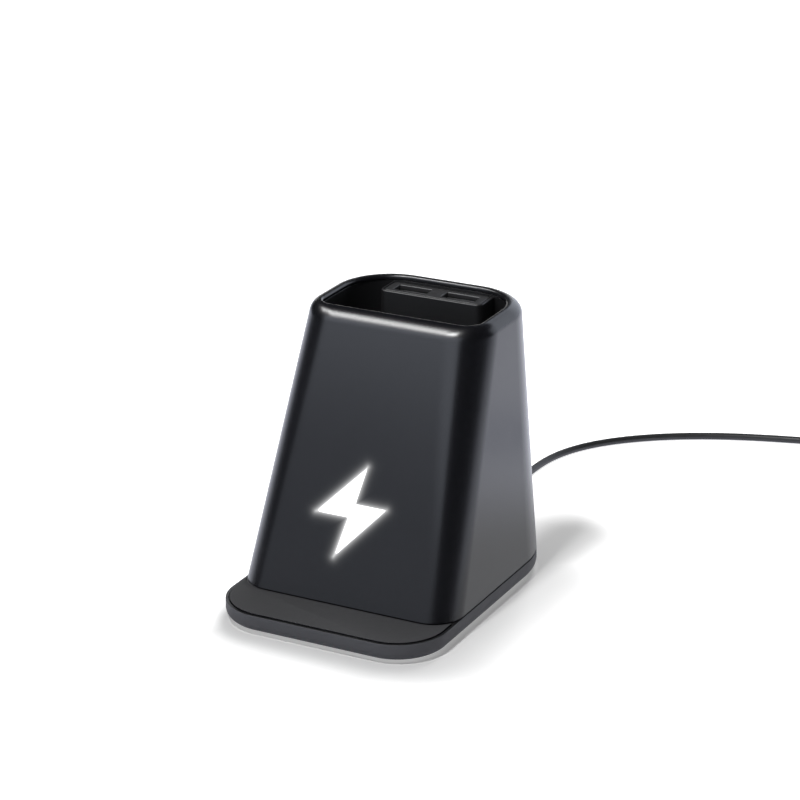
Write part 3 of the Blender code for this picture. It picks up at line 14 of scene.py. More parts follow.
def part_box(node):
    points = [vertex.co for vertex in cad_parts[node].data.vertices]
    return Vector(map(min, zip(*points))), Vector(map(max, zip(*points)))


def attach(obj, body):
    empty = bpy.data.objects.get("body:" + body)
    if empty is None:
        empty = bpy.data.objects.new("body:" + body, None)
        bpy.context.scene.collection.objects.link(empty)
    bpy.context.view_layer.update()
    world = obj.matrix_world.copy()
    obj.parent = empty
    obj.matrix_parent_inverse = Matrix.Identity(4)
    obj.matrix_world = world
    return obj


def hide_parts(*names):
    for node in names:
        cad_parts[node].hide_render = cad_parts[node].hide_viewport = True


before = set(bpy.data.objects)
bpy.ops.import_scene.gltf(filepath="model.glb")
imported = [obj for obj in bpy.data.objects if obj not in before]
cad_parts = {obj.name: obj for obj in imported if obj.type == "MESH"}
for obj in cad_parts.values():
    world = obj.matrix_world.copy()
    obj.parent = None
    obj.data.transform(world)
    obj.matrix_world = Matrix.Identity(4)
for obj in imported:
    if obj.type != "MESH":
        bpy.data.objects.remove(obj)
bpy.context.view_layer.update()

# %% [markdown]
# ## Camera
# The picture was taken from the right of the front, about twenty degrees above the table, through a long
# lens, so the sides hardly converge. A camera is easiest to read as the point that it stands on, the
# point that it looks at and a small roll about that line.

# %% Camera
CAMERA_PLACE = Vector((0.44188, -0.82427, 0.43123))
CAMERA_AIM = Vector((-0.00789, 0.02298, 0.06242))
CAMERA_ROLL = math.radians(-0.531)
CAMERA_LENS, CAMERA_SENSOR, CAMERA_NEAR = 128.275, 36.0, 0.01

camera = bpy.data.objects.new("camera", bpy.data.cameras.new("camera"))
bpy.context.scene.collection.objects.link(camera)
camera.data.lens = CAMERA_LENS
camera.data.sensor_width = CAMERA_SENSOR
camera.data.clip_start = CAMERA_NEAR
gaze = (CAMERA_AIM - CAMERA_PLACE).to_track_quat("-Z", "Y").to_matrix()
rolled_gaze = (gaze @ Matrix.Rotation(CAMERA_ROLL, 3, "Z")).to_4x4()
camera.matrix_world = Matrix.Translation(CAMERA_PLACE) @ rolled_gaze
bpy.context.scene.camera = camera
print("camera", round((CAMERA_AIM - CAMERA_PLACE).length, 3), "m from the holder")

# %% [markdown]
# ## Sizes shared by the skins
# The skins follow the same driving sizes as the solids that they stand for, in metres, so that each one
# lies on its own solid. Levels and slopes are worked out from them once.

# %% Sizes of the holder
BASE_WIDTH, BODY_DEPTH, LEDGE_DEPTH, BASE_HEIGHT, HOLDER_HEIGHT = 0.085, 0.0962, 0.0202, 0.0067, 0.1015
FOOT_DROP, FIT_GAP, OVERRUN = 0.0008, 0.0003, 0.002
BASE_FRONT_RADIUS, BASE_BACK_RADIUS, FOOT_FRONT_RADIUS = 0.0188, 0.033, 0.0116
TOP_WIDTH, TOP_DEPTH, TOP_BACK_SETBACK = 0.0724, 0.0489, 0.0095
TOP_FRONT_RADIUS, TOP_BACK_RADIUS, SHELL_WALL = 0.0143, 0.022, 0.0022
RIM_FILLET, RIM_EDGE, RIM_LIP, MOUTH_INSET = 0.004, 0.001, 0.0015, 0.0052
MOUTH_FRONT_RADIUS, MOUTH_BACK_RADIUS = 0.0056, 0.0178

BASE_FRONT, BASE_BACK = -(BODY_DEPTH + LEDGE_DEPTH) / 2, (BODY_DEPTH + LEDGE_DEPTH) / 2
UNDERSIDE = FOOT_DROP
DECK = UNDERSIDE + BASE_HEIGHT
TOP = UNDERSIDE + HOLDER_HEIGHT
BODY_FRONT = BASE_FRONT + LEDGE_DEPTH
TOP_BACK = BASE_BACK - TOP_BACK_SETBACK
TOP_FRONT = TOP_BACK - TOP_DEPTH
MOUTH_BACK = TOP_BACK - MOUTH_INSET
FRONT_LEAN = math.atan2(TOP_FRONT - BODY_FRONT, TOP - DECK)
BACK_LEAN = math.atan2(TOP_BACK_SETBACK, TOP - DECK)
print("front leans", round(math.degrees(FRONT_LEAN), 2), "degrees, back", round(math.degrees(BACK_LEAN), 2))

# %% [markdown]
# ## The lead
# The real lead is a thin round cable, about 1.2 m long, which leaves a moulded bush low in the back wall,
# runs over the table to the right and ends in a plug. It could be a curve with a bevel. Here it is a tube
# worked out with numpy, because its points then also serve to measure it. Its route starts on the axis of the
# bush and then follows listed points.

# %% Route over the table
CORD_DIAMETER = 0.0028
CORD_RADIUS = CORD_DIAMETER / 2
EXIT_RISE = 0.0143
RELIEF_LENGTH = 0.0165
CORD_ROUTE = (
    (0.0, 0.0825, 0.0152), (0.0001, 0.0905, 0.011), (0.0002, 0.0995, 0.0052), (0.0003, 0.1085, 0.0018),
    (0.0003, 0.1165, 0.0014), (0.0004, 0.1225, 0.0014), (0.0011, 0.13, 0.0014), (0.0036, 0.14, 0.0014),
    (0.0078, 0.149, 0.0014), (0.0134, 0.157, 0.0014), (0.0202, 0.1641, 0.0014), (0.0315, 0.1731, 0.0014),
    (0.0457, 0.1814, 0.0014), (0.064, 0.1891, 0.0014), (0.0834, 0.1948, 0.0015), (0.101, 0.1985, 0.0019),
)


def exit_point(distance):
    """A point on the exit's axis: the wall's place at that height, plus the distance along the axis."""
    share = (EXIT_RISE - DECK) / (TOP - DECK)
    wall = BASE_BACK + (TOP_BACK - BASE_BACK) * share
    return np.array((0.0, wall + distance * math.cos(BACK_LEAN), EXIT_RISE + distance * math.sin(BACK_LEAN)))


cord_start = exit_point(RELIEF_LENGTH + FIT_GAP)
cord_straight = exit_point(RELIEF_LENGTH + FIT_GAP + CORD_DIAMETER)
print("lead leaves the bush at", np.round(cord_start, 4).tolist())

# %% [markdown]
# What the picture doesn't show of the lead is wound into a flat coil of two layers, as a spare length
# is put away. Its radius falls by one pitch a turn, and after a short climb to the upper layer it grows
# again, so the whole coil is one formula of the angle.

# %% Coil and tail
BUNDLE_CENTRE = (0.1235, 0.1758)
BUNDLE_MEAN_RADIUS, BUNDLE_LIFT, BUNDLE_PITCH = 0.0168, 0.0009, 0.0033
BUNDLE_INWARD_TURNS, BUNDLE_OUTWARD_TURNS, BUNDLE_STEPS = 4.5, 4.25, 24
BUNDLE_OUTER_RADIUS = BUNDLE_MEAN_RADIUS + BUNDLE_PITCH * BUNDLE_INWARD_TURNS / 2
BUNDLE_BOTTOM = CORD_RADIUS + BUNDLE_LIFT
TAIL_ROUTE = (
    (0.0, -0.008, -0.0009), (0.0001, -0.016, -0.0031), (0.0003, -0.0245, -0.0041),
    (0.0003, -0.033, -0.0035), (0.0002, -0.0395, -0.0021),
)
TAIL_END = (0.0, -0.046, -0.0016)


def bundle_points():
    """The coil: the radius falls by one pitch a turn, then grows alike, a layer higher after the climb."""
    inward, outward = 2 * math.pi * BUNDLE_INWARD_TURNS, 2 * math.pi * BUNDLE_OUTWARD_TURNS
    total = inward + math.pi + outward
    turn = np.linspace(0.0, total, round(total / (2 * math.pi) * BUNDLE_STEPS) + 1)
    rate = BUNDLE_PITCH / (2 * math.pi)
    climb = np.clip(turn - inward, 0.0, math.pi)
    inner = BUNDLE_OUTER_RADIUS - rate * inward
    radius = np.where(turn < inward, BUNDLE_OUTER_RADIUS - rate * turn, np.where(
        turn < inward + math.pi, inner - rate * np.sin(climb), inner + rate * (turn - inward - math.pi)))
    angle = math.pi / 2 - turn
    height = BUNDLE_BOTTOM + BUNDLE_PITCH * (1 - np.cos(climb)) / 2
    return np.stack([BUNDLE_CENTRE[0] + radius * np.cos(angle), BUNDLE_CENTRE[1] + radius * np.sin(angle),
                     height], 1)


bundle = bundle_points()
bundle_start = bundle[0] - (CORD_DIAMETER, 0.0, 0.0)
bundle_end = bundle[-1] - (0.0, CORD_DIAMETER, 0.0)
tail_straight = bundle_end - (0.0, FIT_GAP + CORD_DIAMETER, 0.0)
plug_spot = tail_straight + np.array(TAIL_END)
cord_knots = np.concatenate([
    [cord_start, cord_straight], CORD_ROUTE,
    [bundle_start - (FIT_GAP + CORD_DIAMETER, 0.0, 0.0), bundle_start], bundle, [bundle_end, tail_straight],
    tail_straight + np.array(TAIL_ROUTE), [plug_spot + (0.0, CORD_DIAMETER, 0.0), plug_spot]])
print("lead has", len(cord_knots), "points along its route")

# %% [markdown]
# A natural cubic spline bends evenly through its points, as a springy cable does. Its bends at the knots
# come from one set of linear equations, and then every point between the knots is a formula.

# %% Path of the lead
CORD_STEP = 0.001


def spline_through(knots, step):
    """Points at even steps along the natural cubic spline: a blend of the two knots plus a cubic bend."""
    gaps = np.linalg.norm(np.diff(knots, axis=0), axis=1)
    marks = np.concatenate(([0.0], np.cumsum(gaps)))
    slopes = np.diff(knots, axis=0) / gaps[:, None]
    system = np.diag(np.concatenate(([1.0], 2 * (gaps[:-1] + gaps[1:]), [1.0])))
    system += np.diag(np.concatenate(([0.0], gaps[1:])), 1) + np.diag(np.concatenate((gaps[:-1], [0.0])), -1)
    pull = np.zeros_like(knots)
    pull[1:-1] = 6 * np.diff(slopes, axis=0)
    bend = np.linalg.solve(system, pull)
    mark = np.linspace(0.0, marks[-1], round(marks[-1] / step) + 1)
    i = np.clip(np.searchsorted(marks, mark, side="right") - 1, 0, len(gaps) - 1)
    gap = gaps[i, None]
    a = (marks[i + 1, None] - mark[:, None]) / gap
    b = 1 - a
    curl = (a ** 3 - a) * bend[i] + (b ** 3 - b) * bend[i + 1]
    return a * knots[i] + b * knots[i + 1] + curl * gap ** 2 / 6


cord_path = spline_through(cord_knots, CORD_STEP)
cord_length = float(np.linalg.norm(np.diff(cord_path, axis=0), axis=1).sum())
print("lead is", round(cord_length, 3), "m long, lowest point", round(float(cord_path[:, 2].min()), 4))

# %% [markdown]
# Every new piece here is a grid of points: rows of equal length, one after the other, with a face between
# each four neighbours. One helper makes a mesh of such a grid, and the lead is its first use: a ring of
# points round each point of the path. Smooth shading then hides the faces, except at true edges.

# %% Lead
CORD_SIDES, CORD_SMOOTH_TO = 20, 60.0


def surface(name, grid, close="caps"):
    """A skin over rows of points that run counter-clockwise seen from their last row.

    Each face joins two neighbours in a row to the same two in the next row. The ends get flat faces,
    or the last row is joined to the first where the profile itself is a closed loop.
    """
    rows, columns = grid.shape[:2]
    index = np.arange(rows * columns).reshape(rows, columns)
    if close == "loop":
        index = np.concatenate([index, index[:1]])
    beside = np.roll(index, -1, axis=1)
    faces = np.stack([index[:-1], beside[:-1], beside[1:], index[1:]], -1).reshape(-1, 4).tolist()
    if close == "caps":
        faces += [index[0][::-1].tolist(), index[-1].tolist()]
    mesh = bpy.data.meshes.new(name)
    mesh.from_pydata(grid.reshape(-1, 3).tolist(), [], faces)
    piece = bpy.data.objects.new(name, mesh)
    bpy.context.scene.collection.objects.link(piece)
    return piece


def soften(piece, angle=32.0):
    """Smooth shading that keeps edges sharper than the angle, in degrees."""
    piece.data.shade_smooth()
    piece.data.set_sharp_from_angle(angle=math.radians(angle))


def tube_points(path, radius, sides):
    """Rings square to a path: the radius times the cosine to its side and the sine straight down."""
    along = np.gradient(path, axis=0)
    along /= np.linalg.norm(along, axis=1)[:, None]
    side = np.cross(along, (0.0, 0.0, 1.0))
    side /= np.linalg.norm(side, axis=1)[:, None]
    down = np.cross(along, side)
    turn = np.linspace(0.0, 2 * math.pi, sides, endpoint=False)[None, :, None]
    return path[:, None] + radius * (np.cos(turn) * side[:, None] + np.sin(turn) * down[:, None])


cord = surface("lead", tube_points(cord_path, CORD_RADIUS, CORD_SIDES))
soften(cord, CORD_SMOOTH_TO)
print("lead skin has", len(cord.data.polygons), "faces")

# %% [markdown]
# ## Outlines
# Almost every part of the holder is a rounded rectangle in plan, which changes with height: the base,
# the tapering shell, the mouth, the liner. One function gives all of them, for as many heights at once
# as are asked for. The straight runs carry a few points close to the corners, so that smooth shading
# keeps the flat faces flat.

# %% Rounded rectangles
QUARTER_STEPS = 22
RUN_SHARES = np.array((0.012, 0.05, 0.2, 0.35, 0.5, 0.65, 0.8, 0.95, 0.988))


def quarter_turn(steps):
    """Angles from nothing to a quarter turn, which every rounded edge below is drawn with."""
    return np.linspace(0.0, math.pi / 2, steps + 1)


def plan(width, front, back, front_radius, back_radius, middle=0.0):
    """Rounded rectangles: a corner is its centre plus its radius times a quarter turn's cosine and sine."""
    width, front, back, front_radius, back_radius = np.broadcast_arrays(
        *map(np.atleast_1d, (width, front, back, front_radius, back_radius)))
    half = width / 2
    radii = np.stack([back_radius, back_radius, front_radius, front_radius], 1)[..., None]
    x = np.stack([half - back_radius, back_radius - half, front_radius - half, half - front_radius], 1)
    y = np.stack([back - back_radius, back - back_radius, front + front_radius, front + front_radius], 1)
    turn = (np.arange(4)[:, None] + np.linspace(0.0, 1.0, QUARTER_STEPS + 1)) * math.pi / 2
    arcs = np.stack([middle + x[..., None] + radii * np.cos(turn), y[..., None] + radii * np.sin(turn)], -1)
    start, end = arcs[:, :, -1:], np.roll(arcs[:, :, :1], -1, axis=1)
    runs = start + (end - start) * RUN_SHARES[:, None]
    return np.concatenate([arcs, runs], 2).reshape(len(half), -1, 2)


def at_heights(outlines, z):
    """Puts each outline at its height."""
    z = np.broadcast_to(np.atleast_1d(z)[:, None], outlines.shape[:2])
    return np.concatenate([outlines, z[..., None]], -1)


def blend(start, end, share):
    """The value at a share of the way from a start to an end."""
    return start + (end - start) * share


print("an outline has", plan(BASE_WIDTH, BASE_FRONT, BASE_BACK, BASE_FRONT_RADIUS, BASE_BACK_RADIUS).shape[1],
      "points")

# %% [markdown]
# Three outlines come back again and again: the base's, the shell's at any height, and the mouth's. Each
# can be drawn in by an inset, which is how walls, grooves and rounded edges follow from one outline.

# %% Outlines of base, shell and mouth
def base_plan(inset):
    """The base, drawn in by each inset."""
    inset = np.atleast_1d(inset)
    return plan(BASE_WIDTH - 2 * inset, BASE_FRONT + inset, BASE_BACK - inset,
                BASE_FRONT_RADIUS - inset, BASE_BACK_RADIUS - inset)


def body_plan(z, inset):
    """The shell's section at each height: every size runs evenly from its foot to its top."""
    rise = (np.atleast_1d(z) - DECK) / (TOP - DECK)
    return plan(blend(BASE_WIDTH, TOP_WIDTH, rise) - 2 * inset, blend(BODY_FRONT, TOP_FRONT, rise) + inset,
                blend(BASE_BACK, TOP_BACK, rise) - inset,
                blend(FOOT_FRONT_RADIUS, TOP_FRONT_RADIUS, rise) - inset,
                blend(BASE_BACK_RADIUS, TOP_BACK_RADIUS, rise) - inset)


def mouth_plan(inset):
    """The mouth's inner edge, drawn in by each inset, or grown where that is negative."""
    inset = np.atleast_1d(inset)
    return plan(TOP_WIDTH - 2 * (MOUTH_INSET + inset), TOP_FRONT + MOUTH_INSET + inset, MOUTH_BACK - inset,
                MOUTH_FRONT_RADIUS - inset, MOUTH_BACK_RADIUS - inset)


print("mouth is", np.round(np.ptp(mouth_plan(0.0)[0], axis=0) * 1000, 1).tolist(), "mm across and deep")

# %% [markdown]
# ## The light-up mark
# The mark is a translucent inlay in the leaning front face. It is drawn on that face, so a small frame
# of three directions comes first: across, up the slope and out of it. The outline is a plain bolt, whose
# corners are softened with short curves.

# %% Frame of the front face and outline of the mark
MARK_WIDTH, MARK_HEIGHT, MARK_RISE, MARK_OFFSET, MARK_ROUNDING = 0.027, 0.033, 0.0332, -0.002, 0.0008
MARK_SHARES = np.array(((0.14, 0.5), (-0.5, -0.06), (-0.03, -0.06), (-0.14, -0.5), (0.5, 0.09), (0.05, 0.09)))
FRONT_ORIGIN = np.array((0.0, BODY_FRONT, DECK))
FRONT_AXES = np.array(((1.0, 0.0, 0.0), (0.0, math.sin(FRONT_LEAN), math.cos(FRONT_LEAN)),
                       (0.0, -math.cos(FRONT_LEAN), math.sin(FRONT_LEAN))))
mark_corners = MARK_SHARES * (MARK_WIDTH, MARK_HEIGHT) + (MARK_OFFSET, MARK_RISE)


def grown(outline, distance):
    """Moves a counter-clockwise outline out by a distance, along the mean of each corner's two normals."""
    ahead = np.roll(outline, -1, axis=0) - outline
    ahead /= np.linalg.norm(ahead, axis=1)[:, None]
    normal = np.stack([ahead[:, 1], -ahead[:, 0]], 1)
    before = np.roll(normal, 1, axis=0)
    return outline + distance * (normal + before) / (1 + (normal * before).sum(1))[:, None]


def softened(corners, radius, steps=7):
    """Each corner becomes a quadratic curve from a radius before it to a radius after it."""
    before, after = np.roll(corners, 1, axis=0) - corners, np.roll(corners, -1, axis=0) - corners
    start = corners + radius * before / np.linalg.norm(before, axis=1)[:, None]
    end = corners + radius * after / np.linalg.norm(after, axis=1)[:, None]
    t = np.linspace(0.0, 1.0, steps)[None, :, None]
    curve = start[:, None] * (1 - t) ** 2 + 2 * corners[:, None] * t * (1 - t) + end[:, None] * t ** 2
    return curve.reshape(-1, 2)


def mark_plan(growth):
    """The mark's outline, grown by a distance or drawn in where that is negative."""
    return softened(grown(mark_corners, growth), MARK_ROUNDING)


def on_front(outlines, out):
    """Carries outlines from the front face's own frame into the scene, each at its height off the face."""
    return FRONT_ORIGIN + at_heights(outlines, out) @ FRONT_AXES


print("mark outline has", len(mark_plan(0.0)), "points")

# %% [markdown]
# ## Outer shell
# The shell is one moulding: up its outside, over a rolled rim, a little way down inside the mouth, and
# back down behind the wall. A solid with a Bevel would give the same look less evenly, because its
# corners change radius on the way up. As a surface it is a closed loop of outlines, and the roll of the
# rim is a blend whose share follows a cosine while its height follows a sine.

# %% Outer shell
WALL_ROWS, ROLL_STEPS, LIP_STEPS = 9, 16, 6
FOOT_EDGE = 0.00025
shell_low = DECK + FIT_GAP
lip_under = TOP - RIM_LIP
wall_foot = lip_under - RIM_FILLET
roll, lip = quarter_turn(ROLL_STEPS), quarter_turn(LIP_STEPS)
roll_z = TOP - RIM_FILLET * (1 - np.sin(roll))
crown = mouth_plan(RIM_FILLET - MOUTH_INSET)
wall_z = np.linspace(shell_low + FOOT_EDGE, roll_z[0] - FOOT_EDGE, WALL_ROWS)
shell = surface("shell_skin", np.concatenate([
    at_heights(body_plan(shell_low, FOOT_EDGE), shell_low),
    at_heights(body_plan(wall_z, 0.0), wall_z),
    at_heights(blend(body_plan(roll_z, 0.0), crown, (1 - np.cos(roll))[:, None, None]), roll_z),
    at_heights(mouth_plan(RIM_EDGE * (np.sin(lip) - 1)), TOP - RIM_EDGE * (1 - np.cos(lip))),
    at_heights(mouth_plan((0.0, 0.0)), (lip_under + FOOT_EDGE, lip_under)),
    at_heights(body_plan(lip_under, SHELL_WALL), lip_under),
    at_heights(body_plan((wall_foot, shell_low), SHELL_WALL), (wall_foot, shell_low)),
]), "loop")
print("shell skin has", len(shell.data.polygons), "faces")

# %% [markdown]
# The mark's window goes right through the front wall, so it is cut with a Boolean. A live Boolean would
# need its tool in the scene, so each cut is baked into the mesh and its tool removed.

# %% Window of the mark
def bake(piece):
    """Turns a piece's modifiers into its mesh."""
    bpy.context.view_layer.update()
    solid = bpy.data.meshes.new_from_object(piece.evaluated_get(bpy.context.evaluated_depsgraph_get()))
    piece.modifiers.clear()
    plain, piece.data = piece.data, solid
    bpy.data.meshes.remove(plain)


def carve(piece, *steps):
    """Applies Booleans in turn, each an operation and its tool, and removes the tools."""
    for operation, tool in steps:
        boolean = piece.modifiers.new(operation.title(), "BOOLEAN")
        boolean.operation, boolean.object, boolean.solver = operation, tool, "EXACT"
    bake(piece)
    for _, tool in steps:
        bpy.data.meshes.remove(tool.data)


window = surface("window_tool", on_front(np.stack([mark_plan(0.0)] * 2), (-SHELL_WALL * 2, OVERRUN)))
carve(shell, ("DIFFERENCE", window))
print("shell skin with its window has", len(shell.data.polygons), "faces")

# %% [markdown]
# The inlay itself sits in that window with a hair of a gap, on a flange that stops it behind the wall and
# that shows as light through the gap. Its front edge is rounded over by a tenth of a millimetre, so that
# it reads as a separate moulding from close up.

# %% Inlay of the mark
WINDOW_GAP, INLAY_EDGE, INLAY_STEPS = 0.0003, 0.00012, 4
FLANGE_GROWTH, FLANGE_THICKNESS = 0.001, 0.001
flange_front = -SHELL_WALL / math.cos(FRONT_LEAN) - FIT_GAP
inlay_turn = quarter_turn(INLAY_STEPS)
inlay_growths = np.concatenate((
    (FLANGE_GROWTH, FLANGE_GROWTH, -WINDOW_GAP), -WINDOW_GAP - INLAY_EDGE * (1 - np.cos(inlay_turn))))
inlay_levels = np.concatenate((
    (flange_front - FLANGE_THICKNESS, flange_front, flange_front), INLAY_EDGE * (np.sin(inlay_turn) - 1)))
inlay_outlines = np.stack([mark_plan(growth) for growth in inlay_growths])
inlay = surface("mark_inlay", on_front(inlay_outlines, inlay_levels))
soften(inlay)
print("inlay is", round(MARK_WIDTH * 1000), "by", round(MARK_HEIGHT * 1000), "mm")

# %% [markdown]
# ## Base and its ledge
# The base is a shallow rim, rounded under its edge, that runs out in front as a ledge. It is again one
# closed loop of outlines: under the rim, up its side, over the deck, down through the opening that the
# shell covers, and back along the pocket of the bottom cover.

# %% Base
UNDER_INSET, UNDER_ROUNDING, DECK_EDGE, UNDER_STEPS, EDGE_STEPS = 0.0039, 0.0034, 0.00015, 12, 5
DECK_THICKNESS, LOCATING_LIP, LOCATING_LIP_HEIGHT, PAD_RECESS = 0.0015, 0.0012, 0.002, 0.0015
COVER_INSET, COVER_THICKNESS, FLANGE_INSET = 0.0049, 0.002, 0.0075
under, edge = quarter_turn(UNDER_STEPS), quarter_turn(EDGE_STEPS)
under_z = UNDERSIDE + UNDER_ROUNDING * (1 - np.cos(under))
lip_outer, lip_top = SHELL_WALL + FIT_GAP, DECK + LOCATING_LIP_HEIGHT
lip_inner = lip_outer + LOCATING_LIP
deck_under = DECK - PAD_RECESS - DECK_THICKNESS
pocket_top = UNDERSIDE + COVER_THICKNESS + FIT_GAP
base = surface("base_skin", np.concatenate([
    at_heights(base_plan(COVER_INSET), UNDERSIDE),
    at_heights(base_plan(UNDER_INSET * (1 - np.sin(under))), under_z),
    at_heights(base_plan(DECK_EDGE * (1 - np.cos(edge))), DECK - DECK_EDGE * (1 - np.sin(edge))),
    at_heights(base_plan(DECK_EDGE + FOOT_EDGE), DECK),
    at_heights(body_plan((DECK, lip_top), lip_outer), (DECK, lip_top)),
    at_heights(body_plan((lip_top, deck_under), lip_inner), (lip_top, deck_under)),
    at_heights(base_plan((FLANGE_INSET, FLANGE_INSET)), (deck_under, pocket_top)),
    at_heights(base_plan(COVER_INSET), pocket_top),
]), "loop")
print("base skin has", len(base.data.polygons), "faces")

# %% [markdown]
# The tray for the soft inlay is cut out of the deck. Its shape is the base's outline less the shell's, which
# leaves a thin rim round the ledge. The faces of that rim are noted, because they get a darker plastic of
# their own, which paints the shade of the ledge onto them.

# %% Tray in the deck
PAD_RIM, PAD_SEAM = 0.001, 0.0002
MERGE_REACH, FLAT_TOP = 1e-6, 0.9


def prism(name, outline, low, high):
    """An outline carried straight up from a low to a high level."""
    return surface(name, at_heights(np.stack([outline, outline]), (low, high)))


def merge_points(piece):
    """Joins points that fall together, as where a straight run of an outline has no length."""
    weld = piece.modifiers.new("merged points", "WELD")
    weld.merge_threshold = MERGE_REACH
    bake(piece)


def face_values(piece, field):
    """One vector for each face of a piece, such as its normal or its centre."""
    values = np.empty(3 * len(piece.data.polygons), np.float32)
    piece.data.polygons.foreach_get(field, values)
    return values.reshape(-1, 3)


shell_foot = body_plan(DECK, 0.0)[0]
tray = prism("tray_tool", base_plan(PAD_RIM)[0], DECK - PAD_RECESS, DECK + OVERRUN)
carve(tray, ("DIFFERENCE", prism("tray_keep", grown(shell_foot, PAD_SEAM), UNDERSIDE, DECK + 2 * OVERRUN)))
carve(base, ("DIFFERENCE", tray))
merge_points(base)
soften(base)
base_normals, base_centres = face_values(base, "normal"), face_values(base, "center")
# These rim faces get a darker plastic below, which paints shade onto them.
rim_painted_shade_faces = (base_normals[:, 2] > FLAT_TOP) & (base_centres[:, 2] > DECK - PAD_RECESS - FOOT_EDGE)
print("base skin has", len(base.data.polygons), "faces,", int(rim_painted_shade_faces.sum()), "of them on the rim")

# %% [markdown]
# The inlay of the ledge is a mat of soft rubber. It is the tray's outline less a narrow groove, and a
# Bevel modifier rounds its top edge, which catches a thin line of light.

# %% Ledge mat
PAD_GROOVE, PAD_THICKNESS, MAT_EDGE = 0.0004, 0.0016, 0.00015
MAT_EDGE_STEPS, MAT_EDGE_FROM, MAT_SMOOTH_TO = 3, math.radians(60), 50.0
pad_low = DECK - PAD_RECESS + FIT_GAP
mat = prism("ledge_mat", base_plan(PAD_RIM + PAD_GROOVE)[0], pad_low, pad_low + PAD_THICKNESS)
mat_keep = prism("mat_keep", grown(shell_foot, PAD_SEAM + FIT_GAP), UNDERSIDE, DECK + 2 * OVERRUN)
carve(mat, ("DIFFERENCE", mat_keep))
bevel = mat.modifiers.new("rounded edge", "BEVEL")
bevel.width, bevel.segments = MAT_EDGE, MAT_EDGE_STEPS
bevel.limit_method, bevel.angle_limit = "ANGLE", MAT_EDGE_FROM
bake(mat)
# The mat's sides are noted, because they take the darker satin, which paints the groove's shade onto them.
mat_painted_shade_sides = np.abs(face_values(mat, "normal")[:, 2]) < FLAT_TOP
soften(mat, MAT_SMOOTH_TO)
print("mat has", len(mat.data.polygons), "faces")

# %% [markdown]
# ## Liner, tower and port plate
# The well is a thin liner that hangs under the rim's lip, and a hollow tower at its back carries the two
# ports. Their sizes follow from the mouth and from the sockets, which stand behind one another: the
# tower's back wall, the board, the socket, a margin and the tower's front wall.

# %% Sizes of the liner and the tower
CUP_WALL, CUP_STEP, CUP_DRAFT_SHARE, CUP_UNDER_HEIGHT = 0.0016, 0.00025, 0.0175, 0.019
PORT_PITCH, PORT_WIDTH, PORT_DEPTH, PORT_RADIUS = 0.0192, 0.013, 0.0052, 0.0004
TOWER_WALL, TOWER_BACK_WALL, TOWER_BITE, TOWER_RADIUS, TOWER_DROP = 0.0014, 0.002, 0.0009, 0.0027, 0.0022
PORT_SIDE_MARGIN, PORT_FRONT_MARGIN, SOCKET_FACE_LAP, HUB_BOARD_THICKNESS = 0.0029, 0.0015, 0.00025, 0.0012
PLATE_THICKNESS, PLATE_SEAT_WIDTH, PLATE_RADIUS = 0.0016, 0.0005, 0.0018
CUP_TOP = lip_under - FIT_GAP
CUP_UNDER = UNDERSIDE + CUP_UNDER_HEIGHT
TOWER_TOP = TOP - TOWER_DROP
TOWER_HOLLOW_BACK = MOUTH_BACK - TOWER_BACK_WALL
SOCKET_DEPTH = PORT_DEPTH + 2 * SOCKET_FACE_LAP
SOCKET_BACK = TOWER_HOLLOW_BACK - 2 * FIT_GAP - HUB_BOARD_THICKNESS
PORT_Y = SOCKET_BACK - SOCKET_DEPTH / 2
TOWER_FRONT = SOCKET_BACK - SOCKET_DEPTH - PORT_FRONT_MARGIN - TOWER_WALL
TOWER_WIDTH = PORT_PITCH + PORT_WIDTH + 2 * (PORT_SIDE_MARGIN + TOWER_WALL)
PLATE_SEAT = TOWER_TOP - PLATE_THICKNESS - FIT_GAP
print("tower is", round(TOWER_WIDTH * 1000, 1), "by", round((MOUTH_BACK - TOWER_FRONT) * 1000, 1), "mm")

# %% [markdown]
# The liner is one surface from its underside, up its outside, over its top edge and down the inside of
# the well, whose floor meets the walls in a fillet. The walls lean in by one degree, so that the moulding
# leaves its mould.

# %% Liner
CUP_BASE_ROUNDING, CUP_EDGE, WELL_FILLET, FILLET_STEPS = 0.0015, 0.0002, 0.002, 8


def draft(z):
    """How far the liner's wall has leaned in at a height, from its top."""
    return CUP_DRAFT_SHARE * (CUP_TOP - np.asarray(z))


shoulder = CUP_UNDER + CUP_BASE_ROUNDING
fillet = quarter_turn(FILLET_STEPS)[::-1]
fillet_z = CUP_UNDER + CUP_WALL + WELL_FILLET * (1 - np.cos(fillet))
liner = surface("liner_skin", np.concatenate([
    at_heights(mouth_plan(draft(CUP_UNDER) - CUP_WALL + CUP_BASE_ROUNDING), CUP_UNDER),
    at_heights(mouth_plan(draft(shoulder) - CUP_WALL), shoulder),
    at_heights(mouth_plan((-CUP_WALL, CUP_EDGE - CUP_WALL)), (CUP_TOP - CUP_EDGE, CUP_TOP)),
    at_heights(mouth_plan((-CUP_STEP - CUP_EDGE, -CUP_STEP)), (CUP_TOP, CUP_TOP - CUP_EDGE)),
    at_heights(mouth_plan(draft(fillet_z) - CUP_STEP + WELL_FILLET * (1 - np.sin(fillet))), fillet_z),
]))
print("well is", round((TOP - CUP_UNDER - CUP_WALL) * 1000, 1), "mm deep")

# %% [markdown]
# The tower grows out of the liner's back wall, so it is joined to it with a Boolean, and its hollow and
# the seat of the plate are cut out in the same step. Like the liner it is wider towards its root.

# %% Tower
TOWER_EDGE = 0.0004


def tower_plan(z, inset):
    """The tower's section: wider towards its root by the draft, its back sunk in the liner's wall."""
    z, inset = np.broadcast_arrays(np.atleast_1d(z), np.atleast_1d(inset))
    return plan(TOWER_WIDTH + 2 * (draft(z) - inset), TOWER_FRONT - draft(z) + inset,
                MOUTH_BACK - draft(z) + TOWER_BITE, TOWER_RADIUS - inset, np.full(z.shape, TOWER_RADIUS / 2))


